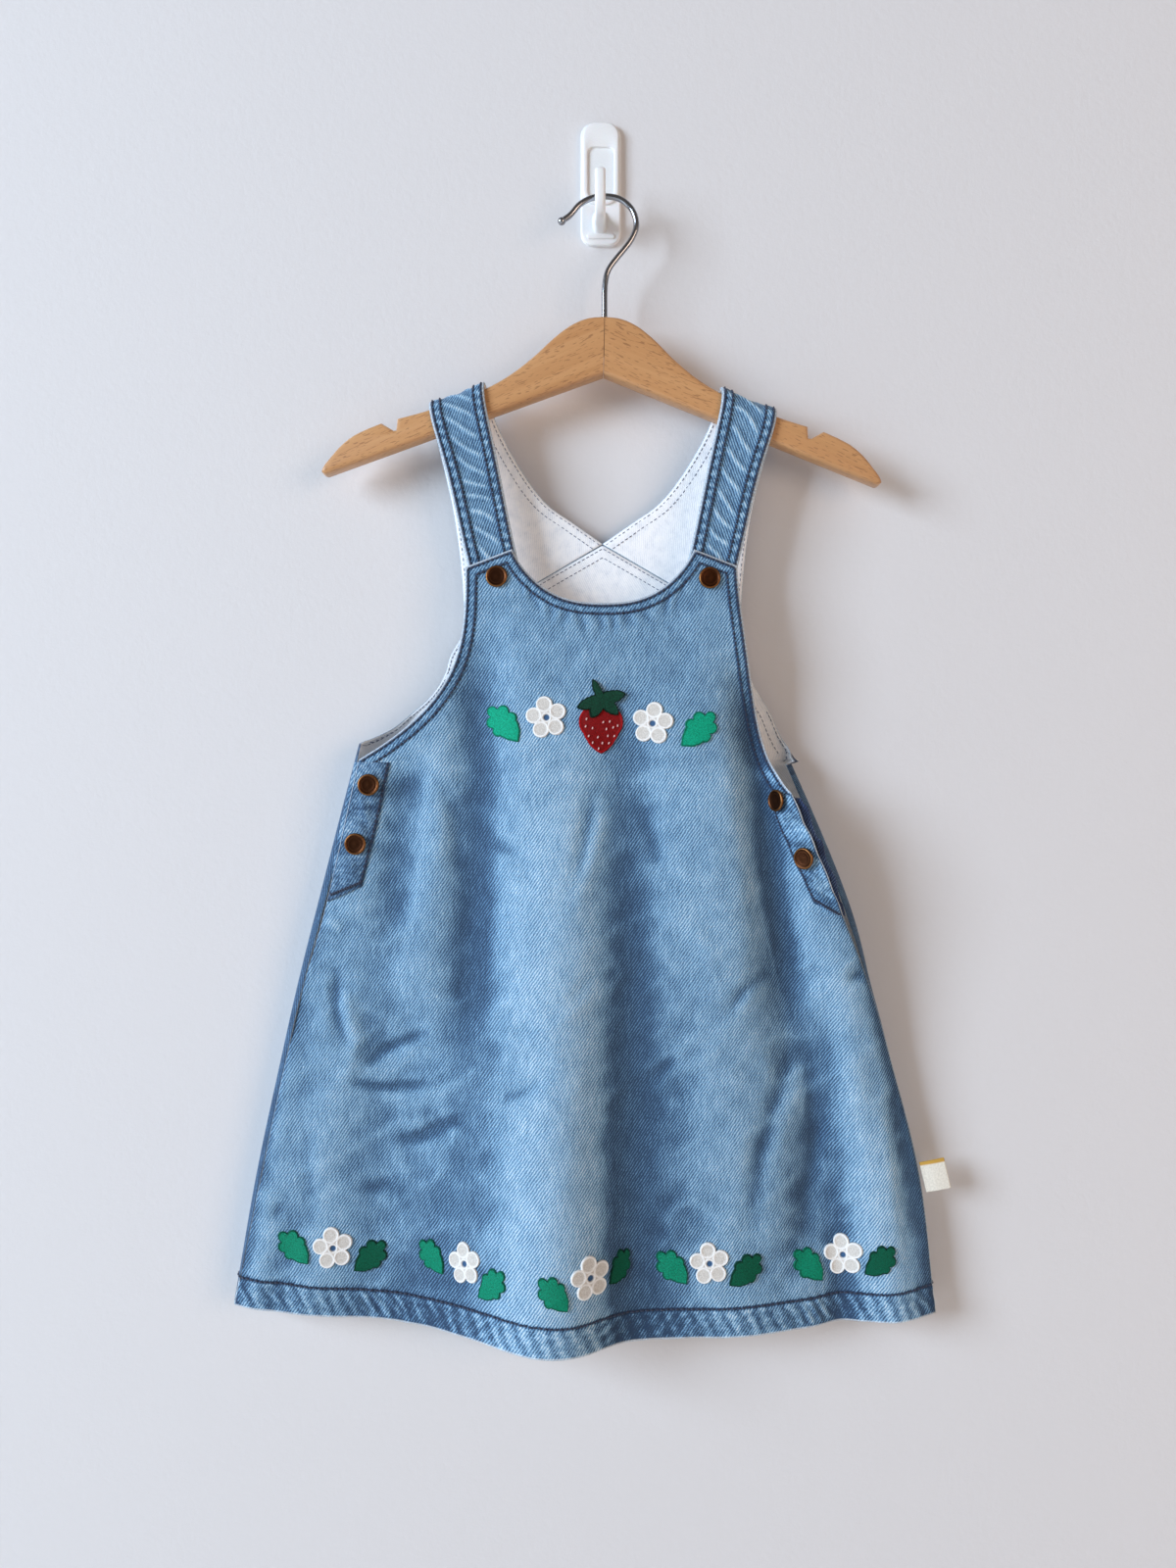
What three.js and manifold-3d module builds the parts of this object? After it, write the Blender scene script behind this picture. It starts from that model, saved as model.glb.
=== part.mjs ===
// A small child's denim pinafore dress on a wooden hanger, hung by its wire hook on a wall hook.
// Millimetres. +Z is up, +X is the viewer's right, -Y points from the wall to the viewer.
// The origin is the middle of the wall hook's flat back.
import * as THREE from 'three';
import { mergeVertices } from 'three/addons/utils/BufferGeometryUtils.js';
import Module from 'manifold-3d';

// The rows of a table as objects: names are its columns, and each row lists its values in that order.
function table(names, rows) {
  const columns = names.split(' ');
  return rows.map((row) => Object.fromEntries(columns.map((column, place) => [column, row[place]])));
}

const SIDE_SEAM_GAP = 0.4; // between the two panels' side edges
const CLOTH = 1.6; // wall of a denim panel
const HEM_CLOTH = 2.8; // wall where the hem is turned up inside
const HEM_DEPTH = 16.5;
const LAID_GAP = 0.6; // between a panel and what is sewn flat on it
const UNDERLAP_GAP = 1.1; // between the front panel and the extension behind it

// The bib's tabs and neckline, seen from the front.
const TAB = { outerLeft: -79.3, outerRight: 79.2, sideZ: -238.8, innerZ: -229.3, y: -34 };
const NECK = { x: 1, halfWidth: 53, depth: 31.5, roundness: 2.6, fullness: 0.85 };

// The front panel's two side edges below the arms, a row for each level.
// belly is how far the panel bows forward of the straight line between them.
const FRONT_LEVELS = table('level leftX leftY leftZ rightX rightY rightZ belly', [
  ['hem', -216.6, -24, -674, 199.2, -17, -681, 8],
  ['knee', -201, -24, -598, 190, -17, -601, 9],
  ['hip', -186, -24, -528, 171.5, -19, -528, 11],
  ['waist', -174.8, -26, -482, 158, -25, -486, 12],
  ['slit end', -161, -29, -435, 140.6, -36, -444, 10],
  ['underarm', -141.5, -32, -351.5, 108.8, -44, -371, 6],
]);
const LEVEL_COUNT = FRONT_LEVELS.length - 1;
const UNDERARM = FRONT_LEVELS.at(-1);
const BIB_BELLY = 2;
const HEM_DROP = 12; // the hem's middle hangs lower than its ends

// How each armhole leaves the underarm: a long curve, with a short flare at the corner.
const ARMHOLES = {
  left: { curve: 3.1, flare: 0, flareCurve: 10 },
  right: { curve: 1.3, flare: 0.3, flareCurve: 10 },
};

// Folds of the front panel. A rise is toward the viewer, a negative one is a trough.
// fadeIn and fadeOut are the lengths over which a fold grows from its top and dies out at its end.
const FOLD_COLUMNS = 'fold topX endX topZ endZ topWidth endWidth topRise endRise fadeIn fadeOut';
const FRONT_FOLDS = table(FOLD_COLUMNS, [
  ['bell crest', -19, -28, -330, -690, 30, 48, 0, 33, 1, 0],
  ['centre trough', 22, 38, -285, -690, 19, 17, -4, -5, 70, 0],
  ['armhole trough', -70, -78, -258, -545, 15, 19, -5, -13, 60, 110],
  ['slit trough', -110, -128, -340, -490, 15, 16, -6, -6, 30, 60],
  ['side trough', 82, 118, -275, -570, 13, 14, -12.5, -11, 70, 130],
  ['side ridge', 136, 178, -430, -690, 14, 20, 6, 9, 60, 0],
  ['right crest', 66, 79, -330, -690, 26, 38, 3, 8, 60, 0],
  ['low trough', 123, 119, -540, -665, 11, 11, -4, -4, 40, 40],
  ['left ridge', -146, -171, -455, -690, 13, 14, 3, 4, 60, 0],
]);

// The back panel hangs close to the wall. Its side edges meet the front's, and it turns round to them.
// bulge is how far the turn reaches outside the seam, on each side.
const BACK_LEVELS = table('level y leftBulge rightBulge', [
  ['hem', -7, 1.5, 0.5],
  ['knee', -7, 4, 0.6],
  ['hip', -8, 4, 0.5],
  ['waist', -8, 4.5, 1.4],
  ['slit end', -9, 5, 4.5],
  ['underarm', -9, 2, 8],
]);
const BACK_UNDERARM = { leftX: -143, leftY: -25, leftZ: -342, rightX: 115.5, rightY: -24, rightZ: -354 };
const YOKE_CORNER = { x: 82.5, z: -270.1, y: -10 }; // where the gable seam runs out at each armhole
const GABLE_RISE = 47.8; // the back panel's top rises in a gable to the middle
const SEAM_PARTS_FROM = 0.55; // below this share of the skirt both panels' side edges meet level
const TURN = { start: 35, least: 3, steps: 6, unrolledBy: 0.08 };
const BACK_FLAT_STEPS = 16;
const BACK_FOLD_FADE = { from: 0.03, to: 0.2 }; // the folds start clear of the side turns
const BACK_FOLDS = table(FOLD_COLUMNS, [
  ['back left wave', -100, -118, -380, -690, 26, 34, 1, 4, 60, 0],
  ['back middle wave', 4, 10, -300, -690, 24, 36, 1, 5, 60, 0],
  ['back right wave', 92, 108, -420, -690, 22, 30, 1, 4, 60, 0],
]);

// Rows and columns of cells over the panels.
const SKIRT_ROWS_PER_LEVEL = 3;
const FRONT_BIB_ROWS = 12;
const BACK_BIB_ROWS = 7;
const BIB_ROW_EASE = 1.25; // rows lie closer together at the armhole's corner
const TAB_COLUMNS = 7;
const NECK_COLUMNS = 22;
const FAR_TAB_COLUMNS = 8;

// One strap, from its end behind the bib's tab, over the hanger and down to the gable seam.
// side is the strap's edge at the arm, neck is its edge at the neck, and cells counts those to the
// next row. The right strap is its mirror about the strap centre.
const STRAP_CENTRE_X = 1;
const STRAP_COLUMNS = 4;
const STRAP_LEVELS = table('level sideX sideZ neckX neckZ y cells', [
  ['end behind the tab', 73.5, -259, 46, -252, -30.6, 3],
  ['tab top', 80.5, -231, 52.6, -224.5, -31.2, 2],
  ['front middle', 91, -186, 61.8, -179.5, -31.5, 3],
  ['front of the hanger', 100.7, -153, 69.6, -142, -30.6, 1],
  ['front edge', 101.8, -146.2, 70.4, -134, -29.9, 1],
  ['top of the hanger', 102.2, -142.7, 70.4, -130.3, -26.4, 2],
  ['top, behind', 102, -142.7, 70, -130.3, -17.6, 1],
  ['back edge', 101.4, -146.2, 69, -134, -14.1, 2],
  ['back of the hanger', 99.6, -160, 64.5, -150, -13.2, 2],
  ['upper back', 94.4, -180, 50.4, -176.5, -12.4, 2],
  ['middle back', 89, -205, 34.3, -197.5, -11.6, 3],
  ['lower back', 85, -235, 17.5, -209.5, -10.8, 3],
  ['gable seam', 82.5, -269.5, 0.2, -221.5, -10.1, 0],
]);
const TILTED_BY = { from: -200, to: -160 }; // the straps follow the hanger's tilt above here

// Strips stitched round each side slit, and the back's extension that the snaps close on.
const SLIT_STRIP = { cloth: 1.2, slant: 9, inset: 0.1, rows: 7, columns: 3 };
const UNDERLAP_CLOTH = 1.4;
// Widths of the strips, and an x by each slit.
const SLITS = {
  left: { topWidth: 18.5, lowWidth: 20.5, nearX: -150 },
  right: { topWidth: 12.5, lowWidth: 17, nearX: 120 },
};
// Shares of the skirt's height, 1 at the underarm: the strips' ends, and where their slant has run out.
const SLIT = { low: 0.8, high: 0.995, straightBy: 0.95 };

const SNAP = { radius: 6.4, height: 1.7, edge: 0.2, shoulder: 0.4, rim: 1.1, slope: 0.7, dish: 0.5 };
const SNAP_SIDES = 14;
const SNAP_GAP = 0.95; // a flat cap's base stands clear of the curved cloth
const BIB_SNAPS = table('name x z', [
  ['snap_bib_left', -61, -245.2],
  ['snap_bib_right', 63, -246],
]);
const SLIT_SNAPS = table('name side inset z', [
  ['snap_slit_left_top', 'left', 9.2, -366.5],
  ['snap_slit_left_low', 'left', 9.2, -401],
  ['snap_slit_right_top', 'right', 7.8, -375.5],
  ['snap_slit_right_low', 'right', 7.8, -408.5],
]);

// A blank woven loop of cotton tape held in the right side seam.
const LABEL = { width: 15, height: 18.5, thickness: 1.1, tilt: 11, fromSeam: 1.65 };
const LABEL_PLACE = { y: -16.6, z: -598.5, nearX: 188 };

// Embroidered motifs, raised on the front panel.
const STITCH_HEIGHT = 0.9;
const STITCH_EDGE = 0.2; // how much lower a motif's rim is than its middle
const POINTS_PER_PETAL = 4;
const FLOWER = { width: 24, height: 25.9, petals: 5, pinch: 0.24 };
const LEAF = { length: 27, width: 17.5, teeth: 4, toothDepth: 0.09, lean: 0.8, fullness: 0.7, steps: 7 };
const BERRY = { width: 25.5, height: 29.5, taper: 0.14, steps: 16 };
const CALYX = { width: 26, height: 20, petals: 5, pinch: 0.34 };
const CHEST_MOTIFS = table('name kind x z turn', [
  ['chest_leaf_left', 'leaf', -56.4, -331, -47],
  ['chest_flower_left', 'flower', -31.8, -327.6, 10],
  ['chest_strawberry', 'berry', -0.3, -334.4, 0],
  ['chest_calyx', 'calyx', -0.3, -317.6, 0],
  ['chest_flower_right', 'flower', 29.6, -331, -8],
  ['chest_leaf_right', 'leaf', 56, -335, 47],
]);
// Five sprigs along the hem, each a flower between two leaves, which are placed from the flower.
// squeeze is how narrow a fold's slope makes the flower and left leaf, rightSqueeze the right leaf.
const HEM_SPRIGS = table('sprig x z squeeze leftX leftZ rightX rightZ rightSqueeze', [
  ['hem_sprig_1', -158.4, -640, 0.98, -22.6, 0.5, 21.6, -6.2, 0.98],
  ['hem_sprig_2', -79.4, -645, 0.8, -20, 1, 16.4, -9.5, 0.82],
  ['hem_sprig_3', -6.7, -647.5, 0.92, -20.2, -6.5, 17.2, 1, 0.62],
  ['hem_sprig_4', 63.2, -646, 0.98, -21.4, -2.5, 21.2, -5, 0.98],
  ['hem_sprig_5', 144, -646, 0.96, -20.8, -5, 20.6, -2, 0.88],
]);
const HEM_FLOWER_TURN = 8;
const HEM_LEAF_TURN = 44;
const HEM_LEAF_SCALE = 0.93;

// The hanger: two arms of beech, mitred at the middle, and a wire hook screwed into the joint.
const HANGER = { x: 2, topZ: -90.3, frontY: -28, thickness: 12, bevel: 1.6, tilt: 1.1, mitreGap: 0.3 };
const OVERRUN = 6; // each arm is made past the middle by this much before it is mitred
const ARM_TOP = table('out drop', [
  [-OVERRUN, 0], [9, 0.9], [18, 4.4], [28, 11.6], [42, 24.9],
  [56, 36], [70, 44.1], [88, 51.6], [106, 58.2], [121, 62.6],
]);
const ARM_NOTCH = table('out drop', [[121.6, 69.4], [123.2, 69.6], [130.5, 65.4]]);
const ARM_TIP = table('out drop', [
  [139, 69], [147, 73.2], [154, 79], [160, 86], [164.4, 92], [165.2, 94.8], [162.5, 96],
]);
const ARM_BOTTOM = { drop: 33.6, slope: 0.384, middleOut: 80, lastOut: 155 };

const WIRE = { radius: 1.75, sides: 8, steps: 34, y: -22, boreGap: 0.35, ballRadius: 2.4 };
const WIRE_BORE_DEPTH = 26;
const WIRE_PATH = table('x z', [
  [1.6, -112], [2, -90], [2.5, -68], [4.6, -60.5], [18.2, -42.4], [20.9, -34.2], [18.6, -25.6],
  [12, -19.3], [3, -17.2], [-5.4, -18.2], [-12.6, -22], [-18.4, -28.4], [-23.4, -32],
]);

// The wall hook: a moulded plate with a shallow pocket, and a prong that stands out and up.
const PLATE = { width: 24.4, height: 75, depth: 4.5, corner: 8, bevel: 1.2 };
const POCKET = { width: 16.4, height: 31, depth: 0.8, z: 6.5, corner: 4 };
const PRONG = { width: 6.4, bevel: 0.9, x: -0.6 };
const PRONG_PROFILE = table('out z', [
  [4.8, -11], [9, -18.2], [15, -20.4], [23.4, -20.4], [25.6, -17.6], [25.9, -4], [27, -1.8],
  [29, -1.6], [30.4, -3.6], [30.9, -20], [28.6, -27.6], [23, -31.4], [13, -33.4], [4.8, -34],
]);

const FINISHES = {
  denim: { color: 0x7fa3c4, roughness: 0.85, metalness: 0 },
  slit: { color: 0x6f94b8, roughness: 0.85, metalness: 0 },
  whiteThread: { color: 0xd9d6cf, roughness: 0.5, metalness: 0 },
  greenThread: { color: 0x0f9a72, roughness: 0.45, metalness: 0 },
  darkGreenThread: { color: 0x0c5a3e, roughness: 0.45, metalness: 0 },
  redThread: { color: 0xc2272d, roughness: 0.45, metalness: 0 },
  copper: { color: 0x6b3a22, roughness: 0.4, metalness: 1 },
  tape: { color: 0xf0ebdd, roughness: 0.8, metalness: 0 },
  beech: { color: 0xc89a68, roughness: 0.5, metalness: 0 },
  chrome: { color: 0xb9bcc0, roughness: 0.15, metalness: 1 },
  plastic: { color: 0xf2f2f2, roughness: 0.35, metalness: 0 },
};

const wasm = await Module();
wasm.setup();

const dress = new THREE.Group();
const { clamp, degToRad, lerp, smoothstep } = THREE.MathUtils;

function addPiece(name, geometry, finish, parent = dress) {
  const mesh = new THREE.Mesh(geometry, new THREE.MeshStandardMaterial(FINISHES[finish]));
  mesh.name = name;
  parent.add(mesh);
  return mesh;
}

// How far a panel stands forward at x, z because of its folds.
function foldRise(folds, x, z) {
  let rise = 0;
  for (const fold of folds) {
    const along = clamp((fold.topZ - z) / (fold.topZ - fold.endZ), 0, 1);
    const across = (x - lerp(fold.topX, fold.endX, along)) / lerp(fold.topWidth, fold.endWidth, along);
    const start = smoothstep(fold.topZ - z, 0, fold.fadeIn);
    const stop = fold.fadeOut ? smoothstep(z - fold.endZ, 0, fold.fadeOut) : 1;
    rise += lerp(fold.topRise, fold.endRise, along) * start * stop * Math.exp(-across * across);
  }
  return rise;
}

// A value between the rows of a level table; place counts rows and their fractions.
function levelValue(rows, column, place) {
  const low = Math.min(Math.floor(place), rows.length - 2);
  return lerp(rows[low][column], rows[low + 1][column], place - low);
}

// How far an armhole still stands out from the bib's side, from 1 at the underarm to 0 at the tab.
function armholeReach(armhole, up) {
  const curve = (1 - up) ** armhole.curve;
  return (1 - armhole.flare) * curve + armhole.flare * (1 - up) ** armhole.flareCurve;
}

// The top edge of the bib over x: a tab at each side and the neckline between them.
function bibTop(x) {
  const out = Math.abs(x - NECK.x);
  if (out >= NECK.halfWidth) {
    const slope = (TAB.innerZ - TAB.sideZ) / (TAB.outerRight - NECK.x - NECK.halfWidth);
    return TAB.innerZ - slope * (out - NECK.halfWidth);
  }
  const inside = 1 - (out / NECK.halfWidth) ** NECK.roundness;
  return TAB.innerZ - NECK.depth * inside ** NECK.fullness;
}

// The front panel's outer face. up runs 0 at the hem, 1 at the underarm and 2 at the bib's top.
function frontPoint(across, up) {
  const edge = {};
  let belly = BIB_BELLY;
  if (up <= 1) {
    const place = up * LEVEL_COUNT;
    for (const column of ['leftX', 'leftY', 'leftZ', 'rightX', 'rightY', 'rightZ']) {
      edge[column] = levelValue(FRONT_LEVELS, column, place);
    }
    belly = levelValue(FRONT_LEVELS, 'belly', place);
  } else {
    const rise = up - 1;
    const leftReach = armholeReach(ARMHOLES.left, rise);
    const rightReach = armholeReach(ARMHOLES.right, rise);
    edge.leftX = lerp(TAB.outerLeft, UNDERARM.leftX, leftReach);
    edge.rightX = lerp(TAB.outerRight, UNDERARM.rightX, rightReach);
    edge.leftY = lerp(TAB.y, UNDERARM.leftY, (1 - rise) ** 2);
    edge.rightY = lerp(TAB.y, UNDERARM.rightY, (1 - rise) ** 2);
    edge.leftZ = lerp(UNDERARM.leftZ, TAB.sideZ, rise);
    edge.rightZ = lerp(UNDERARM.rightZ, TAB.sideZ, rise);
    belly = lerp(UNDERARM.belly, BIB_BELLY, rise);
  }
  const x = lerp(edge.leftX, edge.rightX, across);
  const bow = 4 * across * (1 - across);
  let z = lerp(edge.leftZ, edge.rightZ, across);
  z -= HEM_DROP * bow * Math.max(0, 1 - up) ** 2;
  z += (bibTop(x) - TAB.sideZ) * Math.max(0, up - 1) ** 2;
  const y = lerp(edge.leftY, edge.rightY, across) - belly * bow - foldRise(FRONT_FOLDS, x, z);
  return new THREE.Vector3(x, y, z);
}

// Steps from 0 to 1 whose sizes change evenly, small at the start when ease is under 1.
function steps(count, ease = 1) {
  return Array.from({ length: count + 1 }, (_, step) => (step / count) ** ease);
}

// Column places: the tabs, the neckline between them, and one column at each tab's inner corner.
function frontColumns() {
  const span = TAB.outerRight - TAB.outerLeft;
  const corner = (NECK.x - NECK.halfWidth - TAB.outerLeft) / span;
  const farCorner = (NECK.x + NECK.halfWidth - TAB.outerLeft) / span;
  return [
    ...steps(TAB_COLUMNS).map((step) => step * corner),
    ...steps(NECK_COLUMNS).slice(1).map((step) => lerp(corner, farCorner, step)),
    ...steps(FAR_TAB_COLUMNS).slice(1).map((step) => lerp(farCorner, 1, step)),
  ];
}

// Row places of the skirt, the same on both panels: the hem's turn-up and equal parts of each level.
function skirtRows() {
  const hemTop = HEM_DEPTH / (FRONT_LEVELS[1].leftZ - FRONT_LEVELS[0].leftZ) / LEVEL_COUNT;
  return [0, hemTop, ...steps(LEVEL_COUNT * SKIRT_ROWS_PER_LEVEL).slice(1)];
}

// Row places of a whole panel: the skirt's, then the armhole's.
function panelRows(bibRows) {
  return [...skirtRows(), ...steps(bibRows, BIB_ROW_EASE).slice(1).map((step) => 1 + step)];
}

// Unit vectors out of a grid of points, worked out from each point's neighbours.
function gridNormals(points) {
  return points.map((row, r) => row.map((_, c) => {
    const above = points[Math.min(r + 1, points.length - 1)][c];
    const below = points[Math.max(r - 1, 0)][c];
    const right = row[Math.min(c + 1, row.length - 1)];
    const left = row[Math.max(c - 1, 0)];
    const alongRow = new THREE.Vector3().subVectors(right, left);
    return alongRow.cross(new THREE.Vector3().subVectors(above, below)).normalize();
  }));
}

// Moves each point of a grid against its normal; at the two side edges it moves straight back instead.
function innerSkin(points, normals, thickness, edgeMove) {
  return points.map((row, r) => row.map((point, c) => {
    const depth = typeof thickness === 'function' ? thickness(point) : thickness;
    const atEdge = c === 0 || c === row.length - 1;
    if (atEdge && edgeMove) return point.clone().addScaledVector(edgeMove, depth);
    return point.clone().addScaledVector(normals[r][c], -depth);
  }));
}

function signedVolume(positions, index) {
  let volume = 0;
  const corner = (i) => new THREE.Vector3().fromArray(positions, 3 * index[i]);
  for (let i = 0; i < index.length; i += 3) volume += corner(i).dot(corner(i + 1).cross(corner(i + 2)));
  return volume;
}

// Closed geometry from shared points, with its faces turned outward.
function closedGeometry(positions, index) {
  if (signedVolume(positions, index) < 0) index.reverse();
  const geometry = new THREE.BufferGeometry();
  geometry.setAttribute('position', new THREE.Float32BufferAttribute(positions, 3));
  geometry.setIndex(index);
  return geometry;
}

// A closed wall between two skins of the same grid.
function wallGeometry(outer, inner) {
  const rows = outer.length;
  const columns = outer[0].length;
  const positions = [outer, inner].flat(2).flatMap((point) => point.toArray());
  const index = [];
  const at = (skin, r, c) => (skin * rows + r) * columns + c;
  const quad = (a, b, c, d) => index.push(a, b, c, a, c, d);
  for (let r = 0; r < rows - 1; r += 1) {
    for (let c = 0; c < columns - 1; c += 1) {
      quad(at(0, r, c), at(0, r, c + 1), at(0, r + 1, c + 1), at(0, r + 1, c));
      quad(at(1, r + 1, c), at(1, r + 1, c + 1), at(1, r, c + 1), at(1, r, c));
    }
    quad(at(0, r, 0), at(0, r + 1, 0), at(1, r + 1, 0), at(1, r, 0));
    const last = columns - 1;
    quad(at(0, r + 1, last), at(0, r, last), at(1, r, last), at(1, r + 1, last));
  }
  for (let c = 0; c < columns - 1; c += 1) {
    quad(at(0, 0, c + 1), at(0, 0, c), at(1, 0, c), at(1, 0, c + 1));
    quad(at(0, rows - 1, c), at(0, rows - 1, c + 1), at(1, rows - 1, c + 1), at(1, rows - 1, c));
  }
  return closedGeometry(positions, index);
}

// The wall is thicker where the hem is turned up inside.
function panelThickness(hemZ) {
  return (point) => (point.z < hemZ(point.x) + HEM_DEPTH / 2 ? HEM_CLOTH : CLOTH);
}

const columnPlaces = frontColumns();
const rowPlaces = panelRows(FRONT_BIB_ROWS);
const frontGrid = rowPlaces.map((up) => columnPlaces.map((across) => frontPoint(across, up)));
const frontNormals = gridNormals(frontGrid);
const STRAIGHT_BACK = new THREE.Vector3(0, 1, 0);

function hemLine(x) {
  const hem = FRONT_LEVELS[0];
  const across = (x - hem.leftX) / (hem.rightX - hem.leftX);
  return lerp(hem.leftZ, hem.rightZ, across) - HEM_DROP * 4 * across * (1 - across);
}

function addFrontPanel() {
  const inner = innerSkin(frontGrid, frontNormals, panelThickness(hemLine), STRAIGHT_BACK);
  addPiece('front_panel', wallGeometry(frontGrid, inner), 'denim');
}

// Which cell of the sorted places holds a value, and how far into it.
function cellOf(places, value) {
  let cell = 0;
  while (cell < places.length - 2 && places[cell + 1] < value) cell += 1;
  return { cell, part: (value - places[cell]) / (places[cell + 1] - places[cell]) };
}

// A point on the flat facets of the front panel, moved out by lift along the panel's normal.
function onFront(across, up, lift) {
  const column = cellOf(columnPlaces, across);
  const row = cellOf(rowPlaces, up);
  const mix = (grid) => {
    const a = grid[row.cell][column.cell];
    const b = grid[row.cell][column.cell + 1];
    const c = grid[row.cell + 1][column.cell + 1];
    const d = grid[row.cell + 1][column.cell];
    const lower = row.part <= column.part;
    const alongRow = lower ? b.clone().sub(a) : c.clone().sub(d);
    const upColumn = lower ? c.clone().sub(b) : d.clone().sub(a);
    return a.clone().addScaledVector(alongRow, column.part).addScaledVector(upColumn, row.part);
  };
  return mix(frontGrid).addScaledVector(mix(frontNormals).normalize(), lift);
}

// The place on the front panel that lies at x, z as seen from the front.
function frontPlace(x, z) {
  let low = 0;
  let high = 2;
  let across = 0.5;
  for (let halving = 0; halving < 24; halving += 1) {
    const up = (low + high) / 2;
    const left = frontPoint(0, up).x;
    const right = frontPoint(1, up).x;
    across = clamp((x - left) / (right - left), 0, 1);
    if (frontPoint(across, up).z < z) low = up;
    else high = up;
  }
  return { across, up: (low + high) / 2 };
}

function onFrontAt(x, z, lift) {
  const place = frontPlace(x, z);
  return onFront(place.across, place.up, lift);
}

// One row of the back panel: where it leaves each side's seam, how far each turn reaches, and its flat.
function backRow(up) {
  const skirt = Math.min(up, 1);
  const rise = Math.max(0, up - 1);
  const place = skirt * LEVEL_COUNT;
  const close = (1 - rise) ** 3;
  const side = (name, sign) => {
    const seam = frontPoint(sign < 0 ? 0 : 1, skirt);
    const mix = smoothstep(skirt, SEAM_PARTS_FROM, 1);
    const reach = armholeReach(ARMHOLES[name], rise);
    const cornerX = BACK_UNDERARM[`${name}X`];
    const cornerZ = BACK_UNDERARM[`${name}Z`];
    if (up > 1) {
      seam.x = lerp(STRAP_CENTRE_X + sign * YOKE_CORNER.x, cornerX, reach);
      seam.z = lerp(cornerZ, YOKE_CORNER.z, rise);
      seam.y = lerp(YOKE_CORNER.y, BACK_UNDERARM[`${name}Y`], close);
    } else {
      seam.y = lerp(seam.y, BACK_UNDERARM[`${name}Y`], mix);
      seam.z = lerp(seam.z, cornerZ + seam.z - UNDERARM[`${name}Z`], mix);
    }
    return { seam, sign, bulge: levelValue(BACK_LEVELS, `${name}Bulge`, place) * close };
  };
  const flatY = lerp(levelValue(BACK_LEVELS, 'y', place), YOKE_CORNER.y, rise);
  return { left: side('left', -1), right: side('right', 1), flatY, rise, up };
}

// Points round one side's elliptic turn, from the seam to the flat of the back.
// Up the armhole the turn opens out until it starts at its own edge.
function turnPoints(turn, flatY, rise) {
  const fullStart = degToRad(TURN.start);
  const start = fullStart * (1 - smoothstep(rise, 0, TURN.unrolledBy));
  const widthRadius = turn.bulge / (1 - Math.cos(fullStart)) + TURN.least;
  const depthRadius = (flatY - turn.seam.y) / (1 + Math.sin(start));
  const centreX = turn.seam.x - turn.sign * widthRadius * Math.cos(start);
  const centreY = flatY - depthRadius;
  return steps(TURN.steps).map((step) => {
    const angle = lerp(-start, Math.PI / 2, step);
    const x = centreX + turn.sign * widthRadius * Math.cos(angle);
    return new THREE.Vector3(x, centreY + depthRadius * Math.sin(angle), turn.seam.z);
  });
}

function backPoints(up) {
  const row = backRow(up);
  const left = turnPoints(row.left, row.flatY, row.rise);
  const right = turnPoints(row.right, row.flatY, row.rise).reverse();
  const from = left.at(-1);
  const to = right[0];
  const flat = steps(BACK_FLAT_STEPS).slice(1, -1).map((step) => from.clone().lerp(to, step));
  const points = [...left, ...flat, ...right];
  const seamLeft = points[0];
  const seamRight = points.at(-1);
  for (const point of points) {
    const across = clamp((point.x - seamLeft.x) / (seamRight.x - seamLeft.x), 0, 1);
    point.z = lerp(seamLeft.z, seamRight.z, across);
    point.z -= HEM_DROP * 4 * across * (1 - across) * Math.max(0, 1 - row.up) ** 2;
    point.z += GABLE_RISE * (1 - Math.abs(2 * across - 1)) * row.rise ** 2;
    const clear = Math.min(across, 1 - across);
    const fade = smoothstep(clear, BACK_FOLD_FADE.from, BACK_FOLD_FADE.to);
    point.y += foldRise(BACK_FOLDS, point.x, point.z) * fade;
  }
  return points;
}

function addBackPanel() {
  const grid = panelRows(BACK_BIB_ROWS).map(backPoints);
  for (const row of grid) {
    row[0].x -= SIDE_SEAM_GAP;
    row.at(-1).x += SIDE_SEAM_GAP;
  }
  const normals = gridNormals(grid).map((row) => row.map((normal) => normal.negate()));
  const inner = innerSkin(grid, normals, panelThickness(hemLine), STRAIGHT_BACK);
  addPiece('back_panel', wallGeometry(grid, inner), 'denim');
}

// A strap's edge between its level rows, on a smooth curve through them.
function strapCurve(side, xColumn, zColumn) {
  const sign = side === 'left' ? -1 : 1;
  const lean = Math.tan(degToRad(HANGER.tilt));
  const points = STRAP_LEVELS.map((row) => {
    const x = STRAP_CENTRE_X + sign * row[xColumn];
    const onHanger = smoothstep(row[zColumn], TILTED_BY.from, TILTED_BY.to);
    return new THREE.Vector3(x, row.y, row[zColumn] - onHanger * lean * (x - HANGER.x));
  });
  return new THREE.CatmullRomCurve3(points, false, 'centripetal');
}

function addStrap(side) {
  const armEdge = strapCurve(side, 'sideX', 'sideZ');
  const neckEdge = strapCurve(side, 'neckX', 'neckZ');
  const levels = STRAP_LEVELS.length - 1;
  const places = STRAP_LEVELS.slice(0, -1).flatMap((row, level) => (
    steps(row.cells).slice(0, -1).map((step) => (level + step) / levels)
  ));
  const grid = [...places, 1].map((place) => {
    const arm = armEdge.getPoint(place);
    const neck = neckEdge.getPoint(place);
    return steps(STRAP_COLUMNS).map((step) => arm.clone().lerp(neck, step));
  });
  const sign = side === 'left' ? 1 : -1;
  const normals = gridNormals(grid).map((row) => row.map((normal) => normal.multiplyScalar(sign)));
  const inner = innerSkin(grid, normals, CLOTH);
  addPiece(`strap_${side}`, wallGeometry(grid, inner), 'denim');
}

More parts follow.
